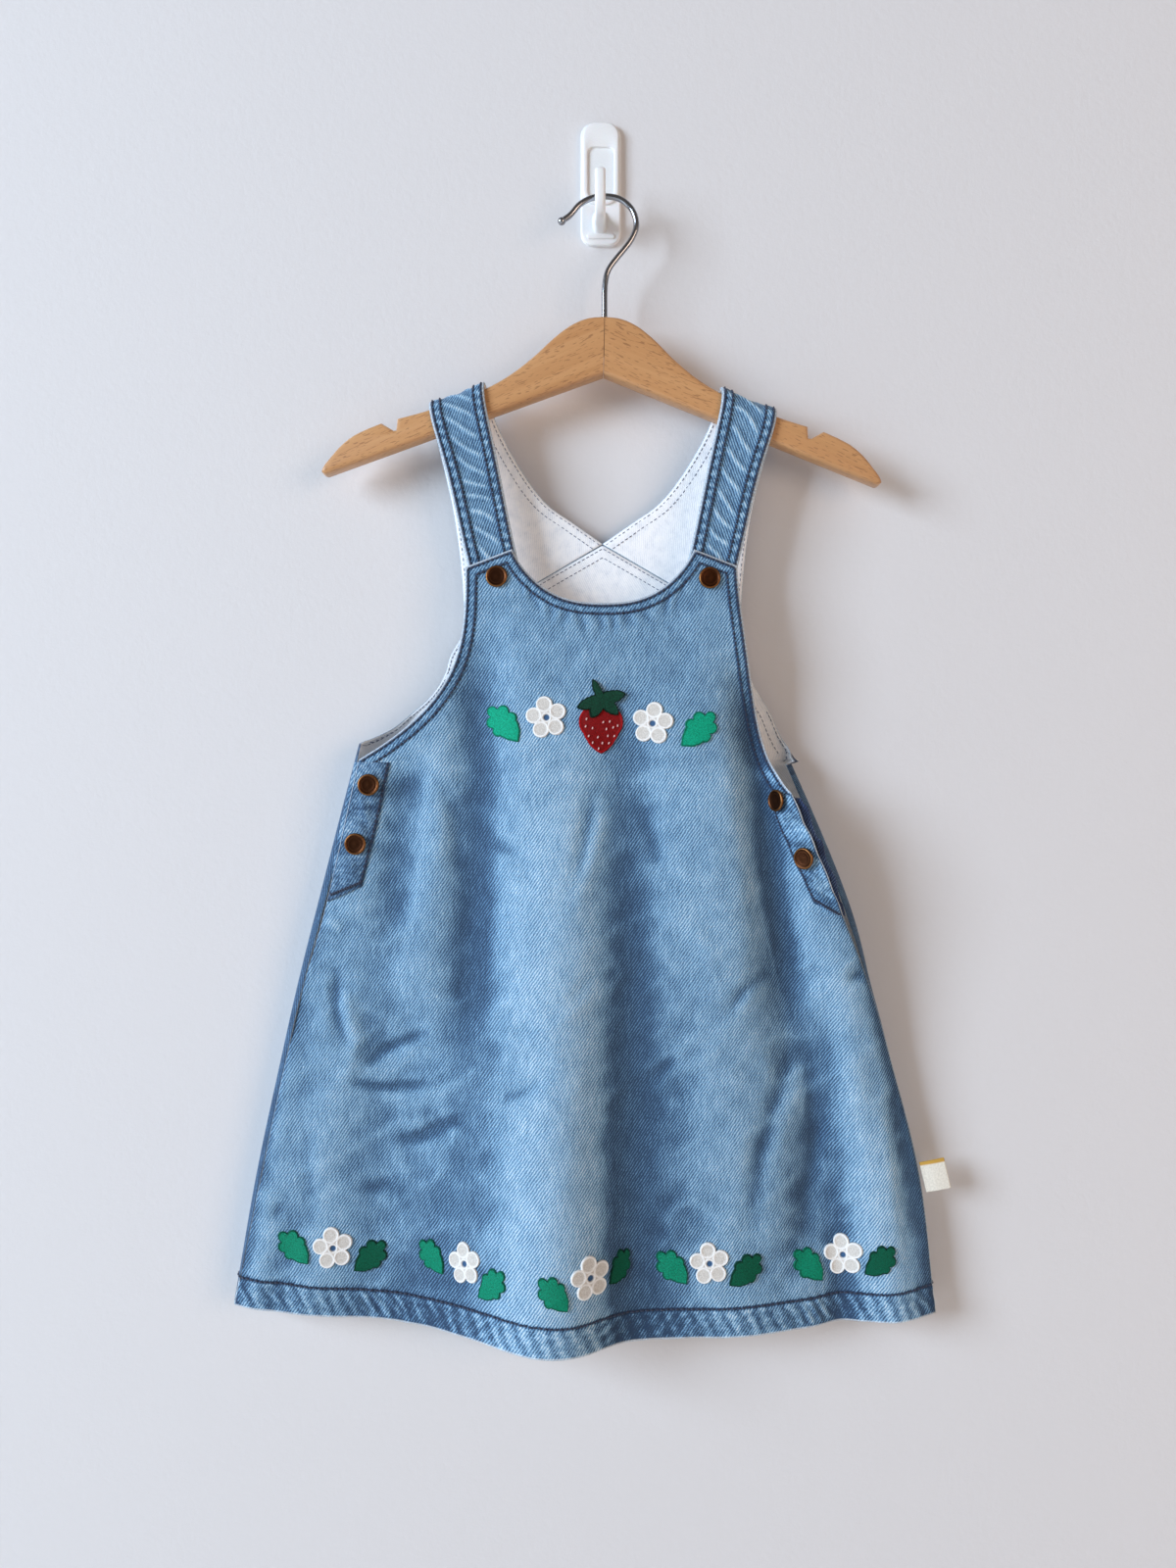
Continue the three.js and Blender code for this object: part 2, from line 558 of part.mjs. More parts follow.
// A strip along one side slit, moved out from the front panel, with a slanted lower end.
function stripGrid(side, lift) {
  const sign = side === 'left' ? 1 : -1;
  const { topWidth, lowWidth } = SLITS[side];
  return steps(SLIT_STRIP.rows).map((row) => {
    const up = lerp(SLIT.low, SLIT.high, row);
    const edge = frontPoint(side === 'left' ? 0 : 1, up);
    const slant = SLIT_STRIP.slant * (1 - smoothstep(up, SLIT.low, SLIT.straightBy));
    const width = lerp(lowWidth, topWidth, smoothstep(up, SLIT.low, 1));
    return steps(SLIT_STRIP.columns).map((step) => {
      const x = edge.x + sign * (SLIT_STRIP.inset + step * width);
      return onFrontAt(x, edge.z + slant * step, lift);
    });
  });
}

function addSlitStrip(side) {
  const under = stripGrid(side, LAID_GAP);
  const outer = stripGrid(side, LAID_GAP + SLIT_STRIP.cloth);
  addPiece(`slit_strip_${side}`, wallGeometry(outer, under), 'slit');
}

// The back's extension lies behind the front panel, where the snaps catch it.
function addUnderlap(side) {
  const behind = -(CLOTH + UNDERLAP_GAP);
  const outer = stripGrid(side, behind);
  const inner = stripGrid(side, behind - UNDERLAP_CLOTH);
  addPiece(`back_underlap_${side}`, wallGeometry(outer, inner), 'slit');
}

// A pressed cap with a raised rim round a dished middle.
function snapGeometry() {
  const { radius, height, edge, shoulder, rim, slope, dish } = SNAP;
  const profile = [
    new THREE.Vector2(0, 0),
    new THREE.Vector2(radius, 0),
    new THREE.Vector2(radius - edge, height - shoulder),
    new THREE.Vector2(radius - rim, height),
    new THREE.Vector2(radius - rim - slope, height - dish),
    new THREE.Vector2(0, height - dish),
  ];
  return new THREE.LatheGeometry(profile, SNAP_SIDES);
}

// Stands a piece that was made along +Y on the front panel's face.
function standOnFront(mesh, x, z, lift) {
  const place = frontPlace(x, z);
  const base = onFront(place.across, place.up, lift);
  const outward = onFront(place.across, place.up, lift + 1).sub(base).normalize();
  mesh.position.copy(base);
  mesh.quaternion.setFromUnitVectors(new THREE.Vector3(0, 1, 0), outward);
}

function addSnaps() {
  for (const snap of BIB_SNAPS) {
    standOnFront(addPiece(snap.name, snapGeometry(), 'copper'), snap.x, snap.z, SNAP_GAP);
  }
  for (const snap of SLIT_SNAPS) {
    const left = snap.side === 'left';
    const place = frontPlace(SLITS[snap.side].nearX, snap.z);
    const edge = frontPoint(left ? 0 : 1, place.up);
    const mesh = addPiece(snap.name, snapGeometry(), 'copper');
    const lift = LAID_GAP + SLIT_STRIP.cloth + SNAP_GAP;
    standOnFront(mesh, edge.x + (left ? snap.inset : -snap.inset), snap.z, lift);
  }
}

function addLabel() {
  const geometry = new THREE.BoxGeometry(LABEL.width, LABEL.thickness, LABEL.height);
  const mesh = addPiece('side_seam_tape', geometry, 'tape');
  const tilt = degToRad(LABEL.tilt);
  const seam = frontPoint(1, frontPlace(LABEL_PLACE.nearX, LABEL_PLACE.z).up);
  const reach = LABEL.fromSeam + (LABEL.width / 2) * Math.cos(tilt);
  mesh.position.set(seam.x + reach, LABEL_PLACE.y, LABEL_PLACE.z);
  mesh.rotation.y = -tilt;
}

// Places round a closed outline, as angles.
function angles(count) {
  return steps(count).slice(0, -1).map((turn) => turn * 2 * Math.PI);
}

// Outlines of the motifs, as x, z pairs round their own middle.
// A flower or a calyx is an ellipse pinched in between its petals, more sharply as sharpness grows.
function petalOutline({ width, height, petals, pinch }, sharpness) {
  return angles(petals * POINTS_PER_PETAL).map((angle) => {
    const between = Math.abs(Math.sin((petals / 2) * (angle - Math.PI / 2)));
    const reach = 1 - pinch * between ** sharpness;
    return [(width / 2) * reach * Math.cos(angle), (height / 2) * reach * Math.sin(angle)];
  });
}

// A toothed leaf, point to the right along x.
function leafOutline() {
  const halfWidth = (place) => {
    const tooth = 1 + LEAF.toothDepth * Math.cos(place * LEAF.teeth * 2 * Math.PI);
    return (LEAF.width / 2) * Math.sin(Math.PI * place ** LEAF.lean) ** LEAF.fullness * tooth;
  };
  const edge = (sign) => (place) => [(place - 0.5) * LEAF.length, sign * halfWidth(place)];
  const lower = steps(LEAF.steps).map(edge(-1));
  const upper = steps(LEAF.steps).slice(1, -1).reverse().map(edge(1));
  return [...lower, ...upper];
}

function berryOutline() {
  return angles(BERRY.steps).map((angle) => {
    const taper = 1 - BERRY.taper * (1 - Math.sin(angle));
    return [(BERRY.width / 2) * Math.cos(angle) * taper, (BERRY.height / 2) * Math.sin(angle)];
  });
}

const MOTIFS = {
  flower: { outline: petalOutline(FLOWER, 3), finish: 'whiteThread' },
  leaf: { outline: leafOutline(), finish: 'greenThread' },
  berry: { outline: berryOutline(), finish: 'redThread' },
  calyx: { outline: petalOutline(CALYX, 1), finish: 'darkGreenThread' },
};

// A raised motif whose under and upper faces both follow the front panel.
function motifGeometry(motif) {
  const turn = degToRad(motif.turn);
  const scale = motif.scale ?? 1;
  const squeeze = motif.squeeze ?? 1;
  const seat = motif.kind === 'calyx' ? STITCH_HEIGHT + 2 * LAID_GAP : LAID_GAP;
  const { outline } = MOTIFS[motif.kind];
  const spot = (ratio, lift) => outline.map(([a, b]) => {
    const x = motif.x + squeeze * scale * ratio * (a * Math.cos(turn) - b * Math.sin(turn));
    const z = motif.z + scale * ratio * (a * Math.sin(turn) + b * Math.cos(turn));
    return onFrontAt(x, z, lift);
  });
  const top = seat + STITCH_HEIGHT;
  const rings = [spot(0.5, seat), spot(1, seat), spot(1, top - STITCH_EDGE), spot(0.5, top)];
  const points = [onFrontAt(motif.x, motif.z, seat), ...rings.flat(), onFrontAt(motif.x, motif.z, top)];
  const count = outline.length;
  const index = [];
  for (let i = 0; i < count; i += 1) {
    const next = (i + 1) % count;
    index.push(0, 1 + next, 1 + i);
    for (let ring = 0; ring < rings.length - 1; ring += 1) {
      const low = 1 + ring * count;
      const high = low + count;
      index.push(low + i, low + next, high + next, low + i, high + next, high + i);
    }
    const last = 1 + (rings.length - 1) * count;
    index.push(last + i, last + next, points.length - 1);
  }
  return closedGeometry(points.flatMap((point) => point.toArray()), index);
}

function addMotif(motif) {
  addPiece(motif.name, motifGeometry(motif), MOTIFS[motif.kind].finish);
}

function addMotifs() {
  CHEST_MOTIFS.forEach(addMotif);
  for (const row of HEM_SPRIGS) {
    const { sprig, x, z, squeeze } = row;
    const leaf = { kind: 'leaf', scale: HEM_LEAF_SCALE };
    const left = { x: x + row.leftX, z: z + row.leftZ, turn: -HEM_LEAF_TURN };
    const right = { x: x + row.rightX, z: z + row.rightZ, turn: 180 + HEM_LEAF_TURN };
    addMotif({ name: `${sprig}_flower`, kind: 'flower', x, z, turn: HEM_FLOWER_TURN, squeeze });
    addMotif({ ...leaf, ...left, name: `${sprig}_leaf_left`, squeeze });
    addMotif({ ...leaf, ...right, name: `${sprig}_leaf_right`, squeeze: row.rightSqueeze });
  }
}

// manifold-3d form of a closed geometry, and back.
function toSolid(geometry) {
  geometry.deleteAttribute('normal');
  geometry.deleteAttribute('uv');
  const merged = mergeVertices(geometry, 1e-4);
  const vertProperties = new Float32Array(merged.attributes.position.array);
  const triVerts = new Uint32Array(merged.index.array);
  return new wasm.Manifold(new wasm.Mesh({ numProp: 3, vertProperties, triVerts }));
}

function fromSolid(solid) {
  const { vertProperties, triVerts } = solid.getMesh();
  const geometry = new THREE.BufferGeometry();
  geometry.setAttribute('position', new THREE.BufferAttribute(vertProperties, 3));
  geometry.setIndex(new THREE.BufferAttribute(triVerts, 1));
  return geometry;
}

// One hanger arm as a board in the x, z plane, seen from the front, with softened edges.
function armGeometry(side) {
  const sign = side === 'left' ? -1 : 1;
  const bottomAt = (out) => ARM_BOTTOM.drop + ARM_BOTTOM.slope * out;
  const outline = [...ARM_TOP, ...ARM_NOTCH, ...ARM_TIP];
  for (const out of [ARM_BOTTOM.lastOut, ARM_BOTTOM.middleOut]) outline.push({ out, drop: bottomAt(out) });
  outline.push({ out: -OVERRUN, drop: ARM_BOTTOM.drop });
  const points = outline.map(({ out, drop }) => new THREE.Vector2(sign * out, -drop));
  const geometry = new THREE.ExtrudeGeometry(new THREE.Shape(points), {
    depth: HANGER.thickness - 2 * HANGER.bevel,
    bevelEnabled: true,
    bevelThickness: HANGER.bevel,
    bevelSize: HANGER.bevel,
    bevelOffset: -HANGER.bevel,
    bevelSegments: 2,
  });
  geometry.rotateX(Math.PI / 2);
  geometry.translate(0, HANGER.frontY - WIRE.y + HANGER.thickness - HANGER.bevel, 0);
  return geometry;
}

function addHanger() {
  const hanger = new THREE.Group();
  hanger.position.set(HANGER.x, WIRE.y, HANGER.topZ);
  hanger.rotation.y = degToRad(HANGER.tilt);
  const boreRadius = WIRE.radius + WIRE.boreGap;
  const bore = new THREE.CylinderGeometry(boreRadius, boreRadius, 2 * WIRE_BORE_DEPTH, 2 * WIRE.sides);
  bore.rotateX(Math.PI / 2);
  for (const side of ['left', 'right']) {
    const half = new THREE.BoxGeometry(2 * OVERRUN, 2 * HANGER.thickness, 4 * WIRE_BORE_DEPTH);
    half.translate((side === 'left' ? 1 : -1) * (OVERRUN - HANGER.mitreGap / 2), 0, 0);
    const arm = toSolid(armGeometry(side)).subtract(toSolid(half)).subtract(toSolid(bore.clone()));
    addPiece(`hanger_arm_${side}`, fromSolid(arm), 'beech', hanger);
  }
  dress.add(hanger);
}

// The wire hook: a round bar along its path, with a ball on its free end.
function addWireHook() {
  const points = WIRE_PATH.map(({ x, z }) => new THREE.Vector3(x, WIRE.y, z));
  const path = new THREE.CatmullRomCurve3(points, false, 'centripetal');
  const section = new THREE.Shape();
  section.absarc(0, 0, WIRE.radius, 0, 2 * Math.PI);
  const bar = new THREE.ExtrudeGeometry(section, {
    steps: WIRE.steps,
    curveSegments: WIRE.sides / 2,
    extrudePath: path,
  });
  const ball = new THREE.SphereGeometry(WIRE.ballRadius, WIRE.sides + 2, WIRE.sides);
  const end = WIRE_PATH.at(-1);
  ball.translate(end.x, WIRE.y, end.z);
  addPiece('hanger_hook', fromSolid(toSolid(bar).add(toSolid(ball))), 'chrome');
}

function roundedShape(width, height, corner) {
  const shape = new THREE.Shape();
  const x = width / 2 - corner;
  const z = height / 2 - corner;
  shape.absarc(x, z, corner, 0, Math.PI / 2);
  shape.absarc(-x, z, corner, Math.PI / 2, Math.PI);
  shape.absarc(-x, -z, corner, Math.PI, 1.5 * Math.PI);
  shape.absarc(x, -z, corner, 1.5 * Math.PI, 2 * Math.PI);
  return shape;
}

function plateGeometry(width, height, depth, corner, bevel) {
  const shape = roundedShape(width - 2 * bevel, height - 2 * bevel, corner - bevel);
  const geometry = new THREE.ExtrudeGeometry(shape, {
    depth: depth - bevel,
    bevelEnabled: bevel > 0,
    bevelThickness: bevel,
    bevelSize: bevel,
    bevelSegments: 1,
    curveSegments: 3,
  });
  return geometry.rotateX(Math.PI / 2);
}

function addWallHook() {
  const { width, height, depth, corner, bevel } = PLATE;
  const moulded = toSolid(plateGeometry(width, height, depth, corner, bevel));
  const keep = new THREE.BoxGeometry(width * 2, depth, height * 2).translate(0, -depth / 2, 0);
  const pocket = plateGeometry(POCKET.width, POCKET.height, 2 * POCKET.depth, POCKET.corner, 0);
  pocket.translate(0, -depth + POCKET.depth, POCKET.z);
  const plate = moulded.intersect(toSolid(keep)).subtract(toSolid(pocket));
  addPiece('wall_hook_plate', fromSolid(plate), 'plastic');
  const profile = new THREE.Shape(PRONG_PROFILE.map(({ out, z }) => new THREE.Vector2(-out, z)));
  const prong = new THREE.ExtrudeGeometry(profile, {
    depth: PRONG.width - 2 * PRONG.bevel,
    bevelEnabled: true,
    bevelThickness: PRONG.bevel,
    bevelSize: PRONG.bevel,
    bevelOffset: -PRONG.bevel,
    bevelSegments: 2,
  });
  prong.rotateX(Math.PI / 2);
  prong.rotateZ(Math.PI / 2);
  prong.translate(PRONG.x - PRONG.width / 2 + PRONG.bevel, 0, 0);
  addPiece('wall_hook_prong', prong, 'plastic');
}

addFrontPanel();
addBackPanel();
for (const side of ['left', 'right']) {
  addStrap(side);
  addSlitStrip(side);
  addUnderlap(side);
}
addSnaps();
addLabel();
addMotifs();
addHanger();
addWireHook();
addWallHook();

export default dress;
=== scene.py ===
import math

import bmesh
import bpy
import numpy as np
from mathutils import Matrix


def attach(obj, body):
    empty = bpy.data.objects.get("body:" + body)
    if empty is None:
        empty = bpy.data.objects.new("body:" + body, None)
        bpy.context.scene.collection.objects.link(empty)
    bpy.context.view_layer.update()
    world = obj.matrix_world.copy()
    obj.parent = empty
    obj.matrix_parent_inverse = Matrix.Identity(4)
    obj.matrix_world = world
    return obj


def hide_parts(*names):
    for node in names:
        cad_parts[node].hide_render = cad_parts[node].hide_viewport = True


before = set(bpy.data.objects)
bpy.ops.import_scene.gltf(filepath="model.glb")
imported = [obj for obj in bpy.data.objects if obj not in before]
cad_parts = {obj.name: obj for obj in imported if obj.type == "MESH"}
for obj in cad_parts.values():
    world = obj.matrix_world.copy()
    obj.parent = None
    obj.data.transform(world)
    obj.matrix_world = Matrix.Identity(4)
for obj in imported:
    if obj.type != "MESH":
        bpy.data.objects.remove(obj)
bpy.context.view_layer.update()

# The camera stands level with the middle of the dress and looks straight at the wall.
camera = bpy.data.objects.new("camera", bpy.data.cameras.new("camera"))
camera.location = (-0.0078, -0.720, -0.366)
camera.rotation_euler = (math.radians(90), 0, 0)
camera.data.sensor_width = 36
camera.data.lens = 27
camera.data.dof.use_dof = False
bpy.context.collection.objects.link(camera)
bpy.context.scene.camera = camera


# ---- Wall hook ----
# A small white hook of moulded ABS, stuck flat to the wall: a thin base, a raised block with a
# channel down its middle, and a J-shaped prong that stands out of the channel's foot.
def linear(hex_colour):
    """An sRGB hex colour as the linear one that a shader takes."""
    values = [int(hex_colour[place:place + 2], 16) / 255 for place in (1, 3, 5)]
    return (*(v / 12.92 if v <= 0.04045 else ((v + 0.055) / 1.055) ** 2.4 for v in values), 1)


def node(material, kind, inputs=None, stops=None, **settings):
    """Adds a node. An input is a plain value, another node, or one of its outputs."""
    made = material.node_tree.nodes.new("ShaderNode" + kind)
    for name, value in settings.items():
        setattr(made, name, value)
    for name, value in (inputs or {}).items():
        if isinstance(value, bpy.types.Node):
            value = value.outputs[0]
        if isinstance(value, bpy.types.NodeSocket):
            material.node_tree.links.new(value, made.inputs[name])
        else:
            made.inputs[name].default_value = value
    for place, (at, colour) in enumerate(stops or []):
        ramp = made.color_ramp.elements
        stop = ramp[place] if place < len(ramp) else ramp.new(at)
        stop.position, stop.color = at, linear(colour)
    return made


def new_material(name):
    """An empty node material."""
    made = bpy.data.materials.new(name)
    made.use_nodes = True
    made.node_tree.nodes.clear()
    return made


def noise(material, place, scale, detail=2.0, roughness=0.5, distortion=0.0):
    """A noise texture over the given coordinates, or over the piece's own where place is None."""
    inputs = {"Scale": scale, "Detail": detail, "Roughness": roughness, "Distortion": distortion}
    return node(material, "TexNoise", inputs if place is None else {"Vector": place, **inputs})


def ramp(material, value, *stops):
    """A colour ramp from stops of place and colour."""
    return node(material, "ValToRGB", {"Fac": value}, stops)


def surface(material, colour, roughness, height, strength, depth, extra):
    """Ends a material in a surface whose bump is depth metres deep."""
    bump = node(material, "Bump", {"Height": height, "Strength": strength, "Distance": depth})
    shader = node(material, "BsdfPrincipled", {
        "Base Color": colour, "Roughness": roughness, "Normal": bump, **extra})
    node(material, "OutputMaterial", {"Surface": shader})


def add_mesh(name, points, faces, materials, slots=None, crease=None, **values):
    """A piece from points in millimetres, with a value for each point under each given name."""
    mesh = bpy.data.meshes.new(name)
    mesh.from_pydata((np.asarray(points, float) / 1000).tolist(), [], faces)
    for value, numbers in values.items():
        numbers = np.asarray(numbers, np.float32)
        kind, field = ("FLOAT_VECTOR", "vector") if numbers.ndim == 2 else ("FLOAT", "value")
        mesh.attributes.new(value, kind, "POINT").data.foreach_set(field, numbers.ravel())
    for material in materials:
        mesh.materials.append(material)
    if slots is not None:
        mesh.polygons.foreach_set("material_index", np.asarray(slots, np.int32))
    turned = bmesh.new()
    turned.from_mesh(mesh)
    bmesh.ops.recalc_face_normals(turned, faces=turned.faces)
    turned.to_mesh(mesh)
    turned.free()
    mesh.shade_smooth()
    if crease:
        mesh.set_sharp_from_angle(angle=math.radians(crease))
    piece = bpy.data.objects.new(name, mesh)
    bpy.context.collection.objects.link(piece)
    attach(piece, "root")
    return piece


def quads(grid, closed=False):
    """The four-sided faces of a grid of point numbers; closed joins its last column to its first."""
    if closed:
        grid = np.c_[grid, grid[:, :1]]
    corners = grid[:-1, :-1], grid[:-1, 1:], grid[1:, 1:], grid[1:, :-1]
    return np.stack(corners, -1).reshape(-1, 4)


def loft(rings):
    """A closed skin through rings of equal counts of points, capped at both ends."""
    rings = np.asarray(rings, float)
    grid = np.arange(rings.shape[0] * rings.shape[1]).reshape(rings.shape[:2])
    faces = quads(grid, closed=True).tolist() + [grid[0].tolist(), grid[-1].tolist()]
    return rings.reshape(-1, 3), faces


def joined(parts):
    """Several sets of points and faces as one."""
    points, faces, count = [], [], 0
    for part_points, part_faces in parts:
        points.append(part_points)
        faces += [[corner + count for corner in face] for face in part_faces]
        count += len(part_points)
    return np.concatenate(points), faces


def rounded_ring(width, height, corner, y, z):
    """A rectangle with round corners, standing at depth y with its middle at height z."""
    turns = np.linspace(0, math.pi / 2, 9)
    ring = []
    for quarter, (sx, sz) in enumerate([(1, 1), (-1, 1), (-1, -1), (1, -1)]):
        angle = turns + quarter * math.pi / 2
        across = sx * (width / 2 - corner) + corner * np.cos(angle)
        up = sz * (height / 2 - corner) + corner * np.sin(angle)
        ring.append(np.c_[across, np.full(len(turns), float(y)), z + up])
    return np.concatenate(ring)


def run_along(line):
    """How far along a line each of its points lies."""
    return np.r_[0, np.cumsum(np.linalg.norm(np.diff(line, axis=0), axis=1))]


def at_places(at, run, values):
    """The values of a line's points at the given distances along it."""
    return np.stack([np.interp(at, run, column) for column in np.asarray(values).T], -1)


def even_steps(line, count):
    """A line's points again, at even distances along it."""
    run = run_along(line)
    return at_places(np.linspace(0, run[-1], count), run, line)


def hermite(t, low, high, low_slope, high_slope):
    """A smooth curve from low to high that leaves each of them at its slope."""
    value = (2 * t**3 - 3 * t**2 + 1) * low + (3 * t**2 - 2 * t**3) * high
    return value + (t**3 - 2 * t**2 + t) * low_slope + (t**3 - t**2) * high_slope


def smooth_path(points, count):
    """A smooth curve through the points, sampled at even distances along it."""
    points = np.asarray(points, float)
    knots = np.r_[0, np.cumsum(np.linalg.norm(np.diff(points, axis=0), axis=1) ** 0.5)]
    slopes = np.gradient(points, knots, axis=0)
    at = np.linspace(0, knots[-1], 60 * len(points))
    cell = np.clip(np.searchsorted(knots, at, "right") - 1, 0, len(points) - 2)
    size = (knots[cell + 1] - knots[cell])[:, None]
    t = (at - knots[cell])[:, None] / size
    curve = hermite(t, points[cell], points[cell + 1], size * slopes[cell], size * slopes[cell + 1])
    return even_steps(curve, count)


def bar(path, flat_normal, half_in_plane, half_across, squareness=2.0):
    """A bar along a flat path. Its section is round, or squarer as squareness grows."""
    tangents = np.gradient(path, axis=0)
    tangents /= np.linalg.norm(tangents, axis=1)[:, None]
    across = np.array(flat_normal, float)
    beside = np.cross(tangents, across)
    angle = np.linspace(0, 2 * math.pi, 20, endpoint=False)
    rounder = 2 / squareness
    c = np.sign(np.cos(angle)) * np.abs(np.cos(angle)) ** rounder
    s = np.sign(np.sin(angle)) * np.abs(np.sin(angle)) ** rounder
    half_in_plane = np.broadcast_to(half_in_plane, len(path))
    half_across = np.broadcast_to(half_across, len(path))
    rings = path[:, None] + beside[:, None] * (half_in_plane[:, None] * c)[..., None]
    return loft(rings + across * (half_across[:, None] * s)[..., None])


# Moulded ABS is smooth and a little glossy, with a faint unevenness left by the mould.
abs_plastic = new_material("moulded_white_abs")
sink_marks = noise(abs_plastic, None, 90.0, 1.0)
surface(
    abs_plastic, ramp(abs_plastic, sink_marks, (0.3, "#e4e5e6"), (0.7, "#efefee")), 0.33,
    noise(abs_plastic, None, 900.0, 3.0, 0.6), 0.15, 0.0002,
    {"IOR": 1.53, "Subsurface Weight": 0.06, "Subsurface Scale": 0.002})

# Each ring: width, height, corner, depth, and z of its middle. Base, block and the small lip below.
PLATE_RINGS = [
    [(24.4, 75, 8, 0, 0), (24.4, 75, 8, -2.1, 0), (23.8, 74.4, 7.7, -2.7, 0), (22.8, 73.4, 7.2, -3.0, 0),
     (21.6, 72.2, 6.8, -3.0, 0)],
    [(22.4, 50.4, 8.5, -2.8, 11.9), (22.2, 50.2, 8.4, -3.7, 11.9), (21.4, 49.4, 8.0, -4.3, 11.9),
     (20.2, 48.2, 7.6, -4.5, 11.9), (17.0, 31.6, 4.2, -4.5, 6.5), (16.4, 31.0, 4.0, -4.3, 6.5),
     (15.8, 30.4, 3.8, -3.1, 6.5), (14.6, 29.2, 3.2, -2.9, 6.5)],
    [(17.6, 3.4, 1.7, -2.9, -32.3), (17.2, 3.0, 1.5, -3.7, -32.3), (16.2, 2.0, 1.0, -4.1, -32.3),
     (15.2, 1.2, 0.6, -4.1, -32.3)],
]
plate = add_mesh(
    "wall_hook_base", *joined([loft([rounded_ring(*ring) for ring in rings]) for rings in PLATE_RINGS]),
    [abs_plastic], crease=50)
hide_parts("wall_hook_plate")

prong_line = smooth_path([
    (-0.6, -2.6, -24.5), (-0.6, -8, -25.6), (-0.6, -15, -26.6), (-0.6, -22, -26.0), (-0.6, -26.4, -22),
    (-0.6, -28.3, -15), (-0.6, -28.5, -8), (-0.6, -28.4, -3.4),
], 60)
along = np.linspace(0, 1, 60)
tip = np.sqrt(np.clip(1 - np.clip((along - 0.955) / 0.045, 0, 1) ** 2, 0.02, 1))
prong_half = (2.45 + 5.2 * np.exp(-along / 0.09)) * tip
prong = add_mesh(
    "wall_hook_j_prong",
    *bar(prong_line, (1, 0, 0), prong_half, (3.15 + 1.6 * np.exp(-along / 0.06)) * tip, squareness=3.2),
    [abs_plastic], crease=60,
)
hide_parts("wall_hook_prong")


# ---- Wire hook ----
# A bright chromed steel wire, 3.5 mm thick, bent to a hook and screwed into the hanger's joint.
# Its free end is rounded into a small ball.
WIRE_Y = -22.0


def ranged(material, value, low, high, to_low, to_high, **settings):
    """A value between low and high, spread out between two others."""
    return node(material, "MapRange", {"Value": value, "From Min": low, "From Max": high,
                                       "To Min": to_low, "To Max": to_high}, **settings)


# Chrome mirrors the room, and its colour is darkened as a painted reflection of a dark room; the drawn wire
# under it leaves faint rings along its length.
chrome = new_material("chromed_steel")
draw_marks = noise(chrome, None, 400.0, 4.0)
surface(
    chrome, ramp(chrome, draw_marks, (0.3, "#8f9196"), (0.7, "#a9abb0")),
    ranged(chrome, draw_marks, 0.0, 1.0, 0.12, 0.26), draw_marks, 0.08, 0.0001, {"Metallic": 1.0})

wire_line = smooth_path([(x, WIRE_Y, z) for x, z in [
    (1.6, -112), (2, -90), (2.5, -68), (4.6, -60.5), (18.2, -42.4), (20.9, -34.2), (18.6, -25.6),
    (12, -19.3), (3, -17.2), (-5.4, -18.2), (-12.6, -22), (-18.4, -28.4), (-23.4, -32),
]], 150)
turns = np.linspace(0.03, 0.97, 12) * math.pi
ball_line = np.c_[-23.4 + 2.4 * np.cos(turns), np.full(12, WIRE_Y), np.full(12, -32.0)]
wire = add_mesh("hanger_wire_hook", *joined([
    bar(wire_line, (0, 1, 0), 1.75, 1.75),
    bar(ball_line, (0, 1, 0), 2.4 * np.sin(turns), 2.4 * np.sin(turns)),
]), [chrome])
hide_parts("hanger_hook")


# ---- Hanger ----
# Two arms of solid beech, 12 mm thick, sawn to shape, mitred at the middle and rounded over, with
# a notch near each tip. A satin clear lacquer leaves the short dark flecks of the beech to see.
HANGER = {"x": 2.0, "z": -90.3, "front": -28.0, "thickness": 12.0, "tilt": math.radians(1.1)}
ARM_TOP = [(0, 0), (9, 0.9), (18, 4.4), (28, 11.6), (42, 24.9), (56, 36), (70, 44.1), (88, 51.6),
           (106, 58.2), (121, 62.6)]
ARM_NOTCH = [(121.6, 69.4), (123.2, 69.6), (130.5, 65.4)]
ARM_TIP = [(139, 69), (147, 73.2), (154, 79), (160, 86), (164.4, 92), (165.2, 94.8), (162.5, 96)]
ARM_UNDER = [(155, 33.6 + 0.384 * 155), (80, 33.6 + 0.384 * 80), (0, 33.6)]


def attribute(material, name, output="Fac"):
    """A value that each point of the piece carries."""
    return node(material, "Attribute", attribute_name=name).outputs[output]


def maths(material, operation, *values):
    """A sum, product or other working on up to three values."""
    return node(material, "Math", dict(enumerate(values)), operation=operation)


def blend(material, share, first, second):
    """One colour over another, by its share."""
    return node(material, "MixRGB", {"Fac": share, "Color1": first, "Color2": second})


# Beech is pinkish tan, with faint long grain and rays that show as short dark flecks along it.
beech = new_material("lacquered_beech")
in_wood = attribute(beech, "grain", "Vector")
long_grain = node(beech, "Mapping", {"Vector": in_wood, "Scale": (0.012, 0.35, 0.35)})
grain = noise(beech, long_grain, 1.0, 6.0, distortion=0.6)
# A real fleck is 0.2 mm wide; it is drawn 0.5 mm wide so that it shows.
fleck_place = node(beech, "Mapping", {"Vector": in_wood, "Scale": (0.3, 1.7, 1.7)})
fleck = ranged(beech, noise(beech, fleck_place, 1.0, 0.0), 0.66, 0.72, 0.0, 1.0)
wood = blend(
    beech, 0.35, ramp(beech, grain, (0.25, "#b27f4f"), (0.5, "#bf8b5a"), (0.75, "#c89766")),
    ramp(beech, noise(beech, long_grain, 0.22), (0.3, "#b98556"), (0.7, "#d3a472")))
wood = blend(beech, maths(beech, "MULTIPLY", fleck, 0.55), wood, linear("#7d5336"))
surface(beech, wood, 0.42, grain, 0.12, 0.0003, {"IOR": 1.5, "Coat Weight": 0.25, "Coat Roughness": 0.28})


